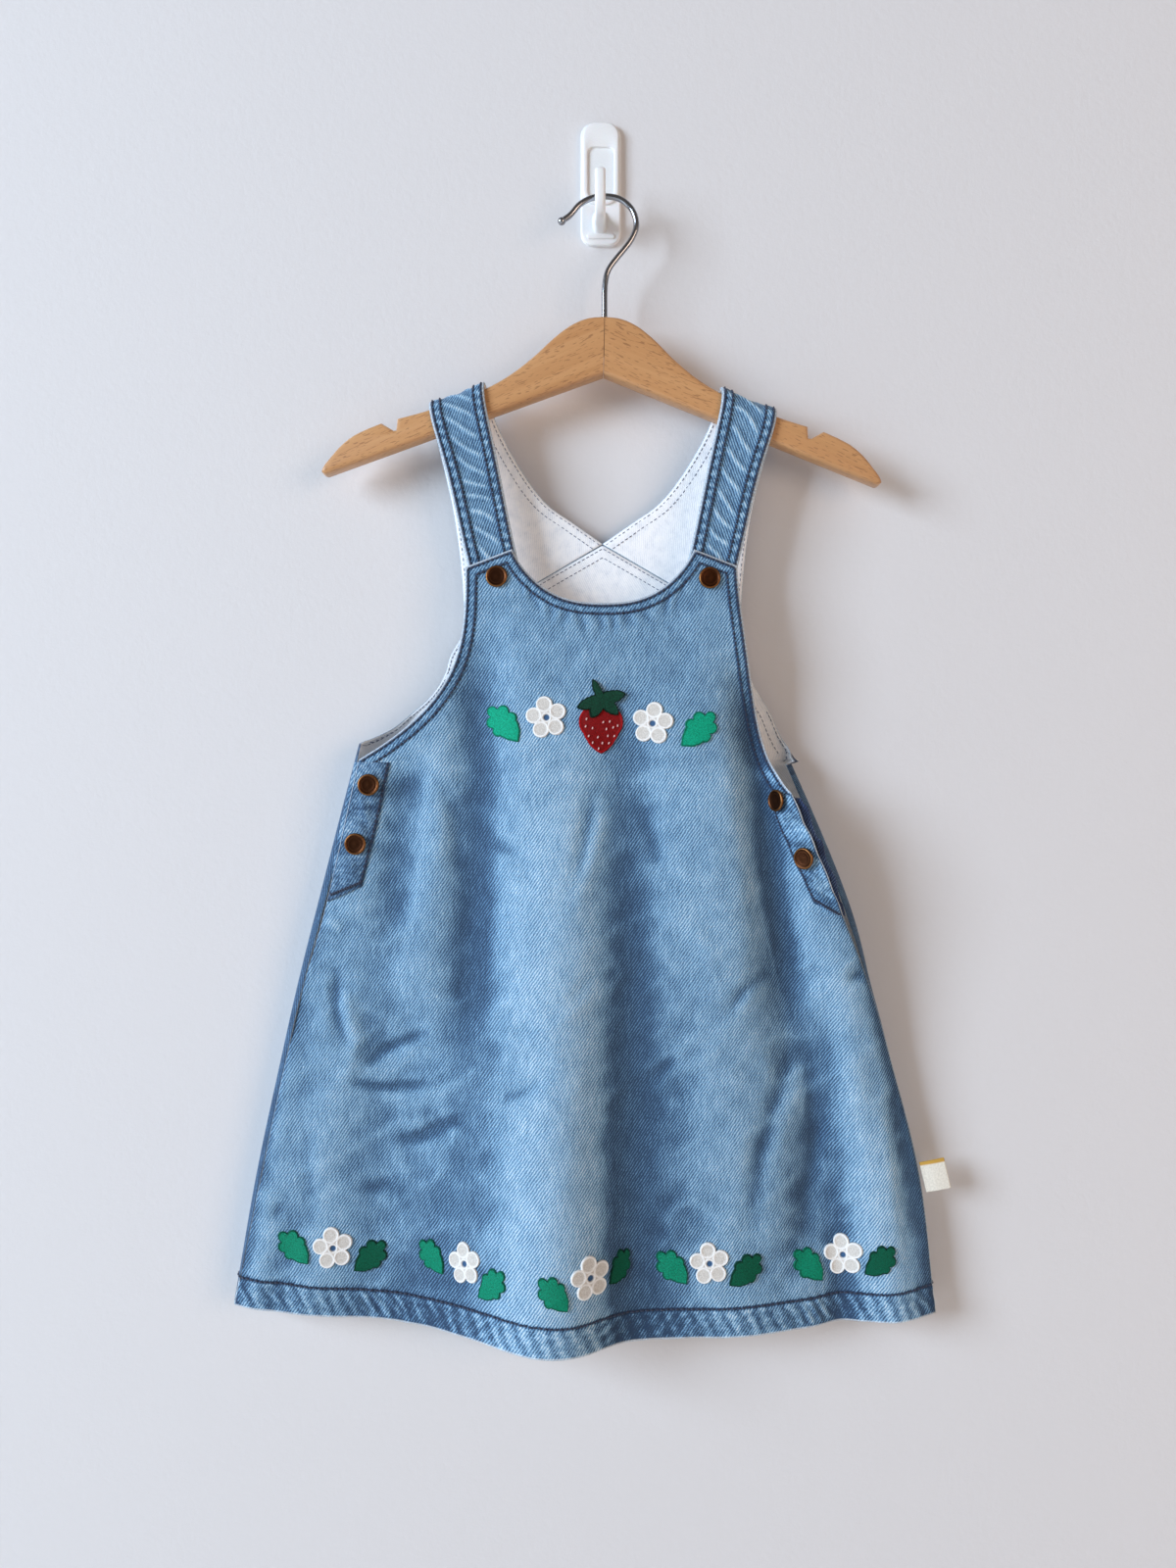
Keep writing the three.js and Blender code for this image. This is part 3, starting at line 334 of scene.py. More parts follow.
def inset_outline(outline, by):
    """A closed outline in x, z moved inward by a small distance; mitres are kept short."""
    before, after = np.roll(outline, 1, axis=0), np.roll(outline, -1, axis=0)
    first, second = outline - before, after - outline
    first /= np.linalg.norm(first, axis=1)[:, None]
    second /= np.linalg.norm(second, axis=1)[:, None]
    middle = np.c_[-(first + second)[:, 1], (first + second)[:, 0]]
    middle /= np.linalg.norm(middle, axis=1)[:, None]
    fit = np.clip(np.sum(middle * np.c_[-first[:, 1], first[:, 0]], axis=1), 0.5, 1)
    area = np.sum(outline[:, 0] * after[:, 1] - after[:, 0] * outline[:, 1])
    ring = outline + np.sign(area) * middle * (by / fit)[:, None]
    # Short runs that the inset has turned round, at tight corners, are drawn together.
    for _ in range(12):
        turned = np.sum((np.roll(ring, -1, axis=0) - ring) * second, axis=1) <= 0
        centre = (ring + np.roll(ring, -1, axis=0)) / 2
        ring[turned] = centre[turned]
        ring[np.roll(turned, 1)] = centre[turned]
    return ring


arm_outline = np.concatenate([
    smooth_path(ARM_TOP, 46), np.array(ARM_NOTCH, float), smooth_path(ARM_TIP, 26),
    even_steps(np.array(ARM_UNDER, float), 30)])
arm_outline = arm_outline[np.r_[True, np.linalg.norm(np.diff(arm_outline, axis=0), axis=1) > 0.05]]
arm_outline[:, 0] = np.maximum(arm_outline[:, 0], 0.15)
# How far the rounded edge draws the outline in, and at what depth; the back is rounded alike.
ROUNDING = [(2.2, 0), (1.5, 0.15), (0.85, 0.5), (0.3, 1.2), (0, 2.2)]
ROUNDING += [(inset, HANGER["thickness"] - depth) for inset, depth in reversed(ROUNDING)]
level, lean = math.cos(HANGER["tilt"]), math.sin(HANGER["tilt"])
for side, sign in (("left", -1), ("right", 1)):
    outline = arm_outline * (sign, -1)
    rings = []
    for inset, depth in ROUNDING:
        ring = inset_outline(outline, inset)
        # The mitred end stays flat, so that the two arms meet there.
        ring[:, 0] = np.where(np.abs(outline[:, 0]) < 0.2, outline[:, 0], ring[:, 0])
        x = HANGER["x"] + ring[:, 0] * level + ring[:, 1] * lean
        z = HANGER["z"] - ring[:, 0] * lean + ring[:, 1] * level
        rings.append(np.c_[x, np.full(len(x), HANGER["front"] + depth), z])
    arm_points, arm_faces = loft(rings)
    # The grain runs down each arm, and the arms are cut from different boards.
    slope = math.radians(24) * sign
    out = (arm_points[:, 0] - HANGER["x"]) * sign
    in_grain = np.c_[
        out * math.cos(slope) + 500 * (sign + 2), arm_points[:, 1], arm_points[:, 2] + 0.42 * out]
    arm = add_mesh(f"beech_arm_{side}", arm_points, arm_faces, [beech], crease=38, grain=in_grain)
    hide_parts(f"hanger_arm_{side}")


# ---- Front panel ----
# The dress front in washed denim: a bib with two tabs round a scooped neckline, deep armholes,
# and a flared skirt with a turned-up hem. It hangs by its tabs in long soft folds.
def mix(low, high, share):
    return low + (high - low) * share


def ease(value, low, high):
    """0 below low, 1 above high and smooth between."""
    t = np.clip((value - low) / (high - low), 0, 1)
    return t * t * (3 - 2 * t)


def bell(value, middle, width):
    return np.exp(-(((value - middle) / width) ** 2))


def unevenness(x, z, size, seed):
    """Smooth bumps from -1 to 1, about size millimetres wide."""
    lattice = np.random.default_rng(seed).uniform(-1, 1, (200, 200))
    a, b = np.asarray(x) / size + 100.0, np.asarray(z) / size + 1000.0
    i, j = np.floor(a).astype(int), np.floor(b).astype(int)
    s, t = ease(a - i, 0, 1), ease(b - j, 0, 1)
    low = mix(lattice[i % 200, j % 200], lattice[(i + 1) % 200, j % 200], s)
    high = mix(lattice[i % 200, (j + 1) % 200], lattice[(i + 1) % 200, (j + 1) % 200], s)
    return mix(low, high, t)


TAB = {"left": -79.3, "right": 79.2, "side_z": -238.8, "inner_z": -229.3, "y": -34.0}
NECK = {"x": 1.0, "half": 53.0, "depth": 31.5, "roundness": 2.6, "fullness": 0.85}
HEM_DROP, HEM_DEPTH = 12.0, 16.5
DENIM_THICK, HEM_THICK = 1.15, 2.3
# Distances in millimetres of the two rows of stitches from a turned edge.
STITCH_ROWS = (1.6, 6.3)
# left x, y, z; right x, y, z; how far the panel bows forward. From the hem up to the underarm.
FRONT_LEVELS = np.array([
    [-216.6, -24, -674, 199.2, -17, -681, 8],
    [-201, -24, -598, 190, -17, -601, 9],
    [-186, -24, -528, 171.5, -19, -528, 11],
    [-174.8, -26, -482, 158, -25, -486, 12],
    [-161, -29, -435, 140.6, -36, -444, 10],
    [-141.5, -32, -351.5, 108.8, -44, -371, 6],
])
UNDERARM = FRONT_LEVELS[-1]
# Each fold: top x, end x, top z, end z, top width, end width, top rise, end rise, fade in, fade out.
FRONT_FOLDS = [
    (-19, -28, -330, -690, 30, 48, 0, 33, 1, 0),
    (14, 12, -285, -690, 19, 20, -4.5, -6, 70, 0),
    (-70, -78, -258, -545, 15, 19, -5, -13, 60, 110),
    (-110, -128, -340, -490, 15, 16, -6, -6, 30, 60),
    (82, 118, -275, -570, 13, 14, -12.5, -11, 70, 130),
    (136, 178, -430, -690, 14, 20, 6, 9, 60, 0),
    (66, 79, -330, -690, 26, 38, 3, 8, 60, 0),
    (123, 119, -540, -665, 11, 11, -4, -4, 40, 40),
    (-149, -173, -455, -690, 15, 17, 1.2, 2.0, 60, 0),
    (-122, -128, -430, -690, 28, 34, -2.5, -6, 90, 0),
    (128, 143, -480, -690, 10, 11, -1.5, -4, 60, 0),
    (-180, -206, -500, -690, 9, 10, 1, 2.5, 50, 0),
]
# Each crease runs through three points, given as x, z; then its width and its rise, negative inward.
FRONT_CREASES = [
    ((-149, -542.5), (-125, -545), (-101, -542), 3.6, -1.5),
    ((-139, -533), (-129, -523), (-102, -511), 3.8, -1.7),
    ((-121, -578), (-103, -572), (-83, -561), 4.2, -2.3),
    ((-57, -548), (-44, -543), (-31, -533), 4.0, -1.2),
    ((-143, -606), (-133, -605), (-124, -601), 4.5, -1.1),
    ((72, -501), (82, -486), (98, -474), 4.4, -1.6),
    ((-156, -473), (-157, -495), (-154, -517), 4.0, -1.6),
    ((-152, -486), (-144, -517), (-150.5, -540), 4.6, 1.6),
    ((-162, -445), (-157, -449), (-153, -452), 3.0, 1.0),
    ((114, -516), (93, -584), (87, -630), 6.5, -2.2),
    ((121, -515), (127, -584), (121, -624), 6.0, -2.0),
    ((153, -481), (167, -538), (176, -650), 6.0, 1.7),
    ((144, -480), (148, -479), (153, -477), 3.0, -1.2),
    ((-4, -474), (-11, -481), (-18, -491), 3.4, -0.9),
    ((44, -525), (36, -532), (28, -541), 3.4, -0.9),
    ((133, -561), (131, -572), (127, -584), 3.6, -1.2),
    ((1, -383), (-6, -408), (-15, -438), 4.5, 1.3),
    ((-5, -366), (-9, -395), (-13, -426), 5.0, -1.6),
    ((24, -377), (28, -395), (33, -412), 5.5, -1.3),
    ((-193, -624), (-192, -619), (-189, -613), 3.6, -1.0),
    ((-172, -567), (-173, -600), (-172, -630), 5.0, -0.8),
    ((-70, -395), (-52, -405), (-38, -425), 5.0, -0.9),
    ((40, -440), (55, -452), (66, -470), 5.0, 0.8),
    ((-95, -360), (-86, -385), (-84, -420), 5.0, -1.1),
]


def fold_rise(folds, x, z):
    rise = 0.0
    for top_x, end_x, top_z, end_z, top_width, end_width, top_rise, end_rise, fade_in, fade_out in folds:
        down = np.clip((top_z - z) / (top_z - end_z), 0, 1)
        across = (x - mix(top_x, end_x, down)) / mix(top_width, end_width, down)
        height = mix(top_rise, end_rise, down) * ease(top_z - z, 0, fade_in)
        if fade_out:
            height = height * ease(z - end_z, 0, fade_out)
        rise = rise + height * np.exp(-across * across)
    return rise


def from_segment(start, end, x, z):
    """How far along a straight line each x, z lies, from 0 to 1, and how far away from it."""
    (ax, az), (bx, bz) = start, end
    length = (bx - ax) ** 2 + (bz - az) ** 2 + 1e-9
    t = np.clip(((x - ax) * (bx - ax) + (z - az) * (bz - az)) / length, 0, 1)
    return t, np.hypot(x - mix(ax, bx, t), z - mix(az, bz, t))


def distance_to(line, x, z):
    """Distance from each x, z to a line of points."""
    nearest = np.full(np.shape(x), 1e9)
    for start, end in zip(line[:-1], line[1:]):
        nearest = np.minimum(nearest, from_segment(start, end, x, z)[1])
    return nearest


def crease_rise(creases, x, z):
    """How far small creases raise the cloth: each dies out softly at its ends and sides."""
    rise = 0.0
    for start, middle, end, width, height in creases:
        nearest, place, run = np.full(np.shape(x), 1e9), np.zeros(np.shape(x)), 0.0
        whole = math.dist(start, middle) + math.dist(middle, end)
        for first, second in ((start, middle), (middle, end)):
            length = math.dist(first, second)
            t, off = from_segment(first, second, x, z)
            place = np.where(off < nearest, (run + t * length) / whole, place)
            nearest = np.minimum(nearest, off)
            run += length
        swell = np.sin(np.pi * np.clip(place, 0, 1)) ** 0.6 * 0.9 + 0.1
        rise = rise + height * swell * np.exp(-((nearest / width) ** 2))
    return rise


def bib_top(x):
    """The top edge of the bib over x."""
    out = np.abs(x - NECK["x"])
    slope = (TAB["inner_z"] - TAB["side_z"]) / (TAB["right"] - NECK["x"] - NECK["half"])
    inside = np.clip(1 - (out / NECK["half"]) ** NECK["roundness"], 0, 1)
    neckline = TAB["inner_z"] - NECK["depth"] * inside ** NECK["fullness"]
    return np.where(out >= NECK["half"], TAB["inner_z"] - slope * (out - NECK["half"]), neckline)


def level_values(levels, up):
    """A smooth curve through the levels, for up from 0 at the hem to 1 at the underarm."""
    place = np.clip(up, 0, 1) * (len(levels) - 1)
    cell = np.clip(np.floor(place).astype(int), 0, len(levels) - 2)
    t = (place - cell)[..., None]
    slopes = np.gradient(levels, axis=0)
    return hermite(t, levels[cell], levels[cell + 1], slopes[cell], slopes[cell + 1])


def armhole_reach(side, rise):
    """How far out the armhole's edge still lies, from 1 at the underarm to 0 at its top."""
    curve, flare = {"left": (3.1, 0.0), "right": (1.3, 0.3)}[side]
    rise = np.clip(rise, 0, 1)
    return (1 - flare) * (1 - rise) ** curve + flare * (1 - rise) ** 10


def front_edges(up):
    """The panel's two edges and its bow: left x, y, z; right x, y, z; bow."""
    values = level_values(FRONT_LEVELS, up)
    rise = np.clip(up - 1, 0, 1)
    hung = (1 - rise) ** 2
    bib = np.stack([
        mix(TAB["left"], UNDERARM[0], armhole_reach("left", rise)), mix(TAB["y"], UNDERARM[1], hung),
        mix(UNDERARM[2], TAB["side_z"], rise),
        mix(TAB["right"], UNDERARM[3], armhole_reach("right", rise)), mix(TAB["y"], UNDERARM[4], hung),
        mix(UNDERARM[5], TAB["side_z"], rise), mix(UNDERARM[6], 2, rise),
    ], -1)
    return np.where((up > 1)[..., None], bib, values)


def front_outline(across, up):
    """x and z of a place on the front panel; across runs 0 to 1 and up 0 to 2."""
    edges = front_edges(up)
    x = mix(edges[..., 0], edges[..., 3], across)
    z = mix(edges[..., 2], edges[..., 5], across)
    z = z - HEM_DROP * 4 * across * (1 - across) * np.clip(1 - up, 0, 1) ** 2
    return x, z + (bib_top(x) - TAB["side_z"]) * np.clip(up - 1, 0, 1) ** 2


def hem_line(x):
    """The height of the front's lower edge over x."""
    across = (x - FRONT_LEVELS[0, 0]) / (FRONT_LEVELS[0, 3] - FRONT_LEVELS[0, 0])
    return mix(FRONT_LEVELS[0, 2], FRONT_LEVELS[0, 5], across) - HEM_DROP * 4 * across * (1 - across)


def hem_puckers(x, z, seed):
    """The turned-up hem stands thicker than the skirt and puckers on the slant along its stitches."""
    above = z - hem_line(x)
    slant = np.sin(2 * math.pi * (x * 1.12 + 0.75 * above) / 6.4 + 2.6 * unevenness(x, z, 15, seed))
    uneven = 0.6 + 0.4 * unevenness(x, z * 0 + 5, 22, seed + 1)
    turned = 0.55 * (1 - ease(above, 15.4, 16.6)) - 0.45 * bell(above, HEM_DEPTH, 1.2)
    return turned + 0.7 * slant * uneven * ease(above, 0.5, 4) * (1 - ease(above, 13, 24))


def slit_lift(x, z, edges, up):
    """The right slit's edge stands away from the back and ripples between its snaps."""
    from_edge = edges[..., 3] - x
    ripple = 1 + 0.35 * np.sin(2 * math.pi * z / 19 + 1.3) + 0.2 * unevenness(z, z * 0, 8, 31)
    stands = ease(up, 0.78, 0.86) * (1 - ease(up, 0.97, 1.25))
    return 6.0 * ripple * stands * np.exp(-np.clip(from_edge, 0, None) / 8.5)


def front_y(x, z, across, up):
    """Depth of the front panel's face: its bow, folds, creases and small unevenness."""
    edges = front_edges(up)
    y = mix(edges[..., 1], edges[..., 4], across) - edges[..., 6] * 4 * across * (1 - across)
    y = y - fold_rise(FRONT_FOLDS, x, z) - crease_rise(FRONT_CREASES, x, z) - hem_puckers(x, z, 5)
    below = bib_top(x) - z
    gathers = np.sin(2 * math.pi * x / 9.5 + 2.4 * unevenness(x, z, 12, 8))
    y = y - 0.38 * gathers * bell(below, 11, 5) * (1 - ease(np.abs(x - NECK["x"]), 44, 52))
    y = y - slit_lift(x, z, edges, up)
    # Faint sharp creases left from packing: the cloth stands proud along winding lines.
    along, over = 0.84 * x + 0.54 * z, 0.84 * z - 0.54 * x
    crumple = 0.9 * np.abs(unevenness(along / 1.8, over, 30, 5))
    crumple = crumple + 0.7 * np.abs(unevenness(along / 1.5, over, 13, 6))
    y = y + crumple * mix(1, 0.3, ease(up, 0.65, 1.05))
    return y - 0.3 * unevenness(x, z, 21, 3) - 0.15 * unevenness(x, z, 9, 4)


def front_place(x, z):
    """across and up of what is seen at x, z."""
    low, high = np.zeros(np.shape(x)), np.full(np.shape(x), 2.0)
    for _ in range(26):
        up = (low + high) / 2
        edges = front_edges(up)
        across = np.clip((x - edges[..., 0]) / (edges[..., 3] - edges[..., 0]), 0, 1)
        under = front_outline(across, up)[1] < z
        low, high = np.where(under, up, low), np.where(under, high, up)
    return across, (low + high) / 2


def on_front(x, z, lift=0.0):
    """Points on the front panel's face at x, z, and the directions straight out of it there."""
    x, z = np.broadcast_arrays(np.asarray(x, float), np.asarray(z, float))
    around = np.stack([(x, z), (x + 0.6, z), (x, z - 0.6)])
    y = front_y(around[:, 0], around[:, 1], *front_place(around[:, 0], around[:, 1]))
    out = np.stack([(y[1] - y[0]) / 0.6, np.full(x.shape, -1.0), -(y[2] - y[0]) / 0.6], -1)
    out /= np.linalg.norm(out, axis=-1)[..., None]
    return np.stack([x, y[0], z], -1) + out * np.asarray(lift)[..., None], out


def grid_normals(points):
    """Directions out of a grid of points whose rows run to +x and columns up."""
    out = np.cross(np.gradient(points, axis=1), np.gradient(points, axis=0))
    return out / np.linalg.norm(out, axis=-1)[..., None]


def blurred(values, times):
    """Values of a grid, evened out with their neighbours."""
    for _ in range(times):
        wide = np.pad(values, 1, mode="edge")
        values = (wide[:-2, 1:-1] + wide[2:, 1:-1] + wide[1:-1, :-2] + wide[1:-1, 2:] + 2 * values) / 6
    return values


def fold_shade_and_wear(height):
    """How much the washing has rubbed each place, with painted light: 1 on crests, lighter as wear and
    painted highlight, and down to -1 in hollows, darkened as painted shade. It counts small creases
    and broad folds."""
    small, broad = blurred(height, 16), blurred(height, 500)
    rub = 0.4 * (height - blurred(height, 60)) / 0.9 + 0.75 * (small - broad) / 5.5
    rub = rub + 0.22 * (height - blurred(height, 5)) / 0.16
    return np.where(rub > 0, 0.5 * np.minimum(rub, 1.0), np.maximum(1.15 * rub, -1.4))


def cloth_run(points):
    """Each point's place in the flat cloth: millimetres across and up, measured along the threads."""
    steps = np.diff(points, axis=1)
    across = np.c_[np.zeros(len(points)), np.cumsum(np.linalg.norm(steps, axis=-1), axis=1)]
    across -= across[:, points.shape[1] // 2][:, None]
    rises = np.hypot(np.diff(points[..., 1], axis=0), np.diff(points[..., 2], axis=0))
    up = np.r_[np.zeros((1, points.shape[1])), np.cumsum(rises, axis=0)]
    return np.stack([across, up, np.zeros_like(up)], -1)


def add_cloth(name, outer, inner, materials, cloth, crease=None, **values):
    """A piece of cloth between two grids, with values for the grid's places. Its faces take the first
    material outside, the second inside and the third round the edge."""
    rows, columns = outer.shape[:2]
    grid = np.arange(rows * columns).reshape(rows, columns)
    border = np.r_[grid[0, :-1], grid[:-1, -1], grid[-1, :0:-1], grid[:0:-1, 0]]
    row, column = np.divmod(border, columns)
    nearby = np.clip(row, 1, rows - 2), np.clip(column, 1, columns - 2)
    middle = (outer[row, column] + inner[row, column]) / 2
    outward = middle - (outer[nearby] + inner[nearby]) / 2
    outward /= np.linalg.norm(outward, axis=1)[:, None]
    half = np.linalg.norm(outer[row, column] - inner[row, column], axis=1) / 2
    rounding = middle + outward * 0.55 * half[:, None]
    points = np.concatenate([outer.reshape(-1, 3), inner.reshape(-1, 3), rounding])
    face = quads(grid)
    ring = 2 * grid.size + np.arange(len(border))
    sides = (border, ring), (ring, border + grid.size)
    rim = np.concatenate([quads(np.stack(pair), closed=True) for pair in sides])
    faces = np.concatenate([face, face[:, ::-1] + grid.size, rim]).tolist()
    slots = np.repeat([0, 1, 2] if len(materials) == 3 else [0, 0, 0], [len(face), len(face), len(rim)])
    order = np.r_[grid.ravel(), grid.ravel(), border]
    values = {key: np.broadcast_to(value, grid.shape).ravel()[order] for key, value in values.items()}
    cloth = cloth.reshape(-1, 3)[order]
    return add_mesh(name, points, faces, materials, slots, crease, cloth=cloth, **values)


# Rows of a panel's grid in the hem and in the skirt; from EDGE_ROW up its turned edge is near.
HEM_ROWS, SKIRT_ROWS, EDGE_ROW = 20, 140, 130


def rows_up(bib_rows):
    """Row places: close together in the hem, then even to the underarm, then the bib's."""
    hem = np.linspace(0, 0.043, HEM_ROWS, endpoint=False)
    skirt = np.linspace(0.043, 1, SKIRT_ROWS, endpoint=False)
    return np.concatenate([hem, skirt, 1 + np.linspace(0, 1, bib_rows) ** 1.1])


def turned_edge(grid):
    """The line round a panel's armholes and top, and how far from it each place of the grid lies."""
    flat, underarm = grid[..., [0, 2]], HEM_ROWS + SKIRT_ROWS
    line = np.concatenate([flat[underarm:, 0], flat[-1], flat[underarm:, -1][::-1]])
    away = np.full(grid.shape[:2], 99.0)
    away[EDGE_ROW:] = distance_to(line, flat[EDGE_ROW:, :, 0], flat[EDGE_ROW:, :, 1])
    return line, away


def reverse_face(grid, out, hem):
    """The inner face of a panel, double in the hem. At the side seams it lies straight behind."""
    thick = np.where(hem < HEM_DEPTH, HEM_THICK, DENIM_THICK)[..., None]
    inner = grid - out * thick
    inner[:, [0, -1]] = grid[:, [0, -1]] + np.array([0, 1, 0]) * thick[:, [0, -1]]
    return inner


# Columns stand closest where the neckline rises steeply to the tabs.
span = TAB["right"] - TAB["left"]
corners = [(NECK["x"] + way * NECK["half"] - TAB["left"]) / span for way in (-1, 1)]
neck_steps = np.linspace(0, 1, 127)
neck_steps = neck_steps - 0.6 * np.sin(2 * math.pi * neck_steps) / (2 * math.pi)
front_across = np.concatenate([
    np.linspace(0, corners[0], 34, endpoint=False), mix(corners[0], corners[1], neck_steps),
    np.linspace(corners[1], 1, 35)[1:],
])
across, up = np.meshgrid(front_across, rows_up(56))
front_x, front_z = front_outline(across, up)
front_grid = np.stack([front_x, front_y(front_x, front_z, across, up), front_z], -1)
bib_edge, front_edge = turned_edge(front_grid)
# The turned edge of the bib stands a little proud as far as its inner row of stitches.
front_out = grid_normals(front_grid)
proud = 0.4 * (1 - ease(front_edge, 5.8, 7)) - 0.3 * bell(front_edge, STITCH_ROWS[0], 0.7)
front_grid += front_out * (proud * ease(front_edge, 0, 0.8))[..., None]
front_hem = front_z - hem_line(front_x)
# The twill is laid out straight across the front, since its folds take up little cloth.
front_cloth = np.stack([front_grid[..., 0], front_grid[..., 2], front_x * 0], -1)


def wave(material, place, pitch, distortion, detail=2.0, detail_scale=1.0, roughness=0.5):
    """Soft bands, pitch millimetres apart."""
    return node(material, "TexWave", {
        "Vector": place, "Scale": 0.314 / pitch, "Distortion": distortion, "Detail": detail,
        "Detail Scale": detail_scale, "Detail Roughness": roughness}).outputs["Fac"]


def slanting(material, place, degrees):
    """Coordinates turned in the plane of the cloth."""
    return node(material, "Mapping", {"Vector": place, "Rotation": (0, 0, math.radians(degrees))})


# Cotton bends light less than lacquer or plastic does.
COTTON = {"IOR": 1.46}


def denim_material(name, deep, body, pale, white, band_light):
    """Washed denim. It reads each point's place in the cloth, its distance from a turned edge and
    from the hem, and how far the washing has rubbed it together with painted light and shade on its creases
    and folds."""
    denim = new_material(name)
    place = attribute(denim, "cloth", "Vector")
    edge, hem, wear = (attribute(denim, value) for value in ("edge", "hem", "wear"))
    # Right-hand twill: pale lines that climb to the right. Their real pitch of 0.8 mm is too fine
    # to show, so they are drawn 1.5 mm apart.
    twill = wave(denim, slanting(denim, place, 34), 1.5, 2.0, roughness=0.6)
    # Uneven warp yarns: streaks about 1 mm wide and 12 mm long down the cloth.
    down = node(denim, "Mapping", {"Vector": place, "Scale": (1.0, 0.09, 1)})
    slubs = noise(denim, down, 0.9, 3.0, 0.65)
    specks = noise(denim, place, 1.35, 2.0, 0.75)
    clouds = noise(denim, place, 0.09, 4.0, 0.62)
    broad_wash = noise(denim, place, 0.017, 1.0)
    value = 0.5
    for source, strength in (
            (twill, 0.44), (slubs, 0.50), (specks, 0.78), (clouds, 0.30), (broad_wash, 0.12)):
        value = maths(denim, "MULTIPLY_ADD", maths(denim, "SUBTRACT", source, 0.5), strength, value)
    # Crests are lightened as wear and painted highlight; hollows of creases, folds and seams are darkened as
    # painted shade.
    value = maths(denim, "MULTIPLY_ADD", wear, 0.24, value)
    # Turned edges rub in blotches between their rows of stitches, and so does the hem.
    in_edge = ranged(denim, edge, 5.4, 6.6, 1.0, 0.0, interpolation_type="SMOOTHSTEP")
    in_hem = ranged(denim, hem, 15.2, 17.0, 1.0, 0.0, interpolation_type="SMOOTHSTEP")
    in_band = maths(denim, "MULTIPLY", maths(denim, "MAXIMUM", in_edge, in_hem), 0.55)
    blotch = ranged(denim, noise(denim, place, 0.32, 3.0, 0.75), 0.36, 0.64, -0.42, band_light)
    value = maths(denim, "MULTIPLY_ADD", blotch, in_band, value)
    # The turned-up hem is pulled into slanting puckers about 8 mm apart, painted in as bands of light and
    # shade.
    pucker_shade = wave(denim, slanting(denim, place, -24), 8.4, 5.0, detail_scale=0.45)
    pucker_shade = maths(denim, "MULTIPLY", maths(denim, "SUBTRACT", pucker_shade, 0.5), in_hem)
    value = maths(denim, "MULTIPLY_ADD", pucker_shade, 0.26, value)
    # Rows of stitches draw the cloth down into dents, darkened as painted shade.
    for distance, at in ((edge, STITCH_ROWS[0]), (edge, STITCH_ROWS[1]), (hem, HEM_DEPTH)):
        off = maths(denim, "ABSOLUTE", maths(denim, "SUBTRACT", distance, at))
        value = maths(denim, "SUBTRACT", value, ranged(denim, off, 0.4, 1.3, 0.34, 0.0))
    colour = ramp(denim, value, (0.16, deep), (0.48, body), (0.74, pale), (0.98, white))
    # The fold of every edge is rubbed almost white.
    rubbed = ranged(denim, maths(denim, "MINIMUM", edge, hem), 0.35, 1.1, 1.2, 0.0)
    colour = blend(denim, maths(denim, "MULTIPLY", rubbed, specks), colour, linear("#e2e8ec"))
    height = maths(denim, "MULTIPLY_ADD", twill, 0.6, specks)
    height = maths(denim, "MULTIPLY_ADD", slubs, 0.8, height)
    surface(denim, colour, 0.88, height, 0.55, 0.00035, {
        **COTTON, "Sheen Weight": 0.12, "Sheen Roughness": 0.5})
    return denim


washed_denim = denim_material("washed_indigo_denim", "#213c5a", "#5e88ac", "#98c0da", "#d6e3ea", 0.08)

# The reverse of the denim: undyed cotton with a trace of blue, soft and dull.
reverse = new_material("undyed_denim_reverse")
reverse_place = attribute(reverse, "cloth", "Vector")
reverse_tone = maths(
    reverse, "MULTIPLY_ADD", wave(reverse, slanting(reverse, reverse_place, -34), 1.25, 2.5, 3.0, 1.6), 0.22,
    noise(reverse, reverse_place, 0.16, 5.0, 0.7))
surface(
    reverse, ramp(reverse, reverse_tone, (0.30, "#d2d8e0"), (0.52, "#ebeef2"), (0.78, "#f7f8f9")), 0.9,
    reverse_tone, 0.5, 0.0004, {**COTTON, "Sheen Weight": 0.1, "Sheen Roughness": 0.5})

# A cut or folded edge, rubbed pale, with short loose ends of thread.
frayed = new_material("rubbed_denim_edge")
frays = noise(frayed, attribute(frayed, "cloth", "Vector"), 1.4, 4.0, 0.8)
surface(
    frayed, ramp(frayed, frays, (0.34, "#5b7894"), (0.5, "#a9bccb"), (0.66, "#dbe3e8")), 0.92,
    frays, 0.8, 0.0005, COTTON)

DENIM = [washed_denim, reverse, frayed]
front = add_cloth(
    "denim_front_panel", front_grid, reverse_face(front_grid, front_out, front_hem), DENIM, front_cloth,
    edge=front_edge, hem=front_hem, wear=fold_shade_and_wear(-front_grid[..., 1]))
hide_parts("front_panel")


# ---- Back panel ----
# The dress back, cut like the front without its bib tabs. It hangs nearly flat by the wall, turns
# forward to meet the front at the side seams, and its top rises in a gable under the yoke.
BACK_LEVELS = np.array([
    [-7, 1.5, 0.5], [-7, 4, 0.6], [-8, 4, 0.8], [-8, 4.5, 2.2], [-9, 5, 5.2], [-9, 2, 4.2],
])
BACK_UNDERARM = {"left": (-143, -25, -342), "right": (115.5, -24, -354)}
STRAP_MIDDLE = 1.0
YOKE_CORNER = (82.5, -10.0, -270.1)
GABLE_RISE = 47.8
BACK_FOLDS = [
    (-100, -118, -380, -690, 26, 34, 1, 4, 60, 0),
    (4, 10, -300, -690, 24, 36, 1, 5, 60, 0),
    (92, 108, -420, -690, 22, 30, 1, 4, 60, 0),
]
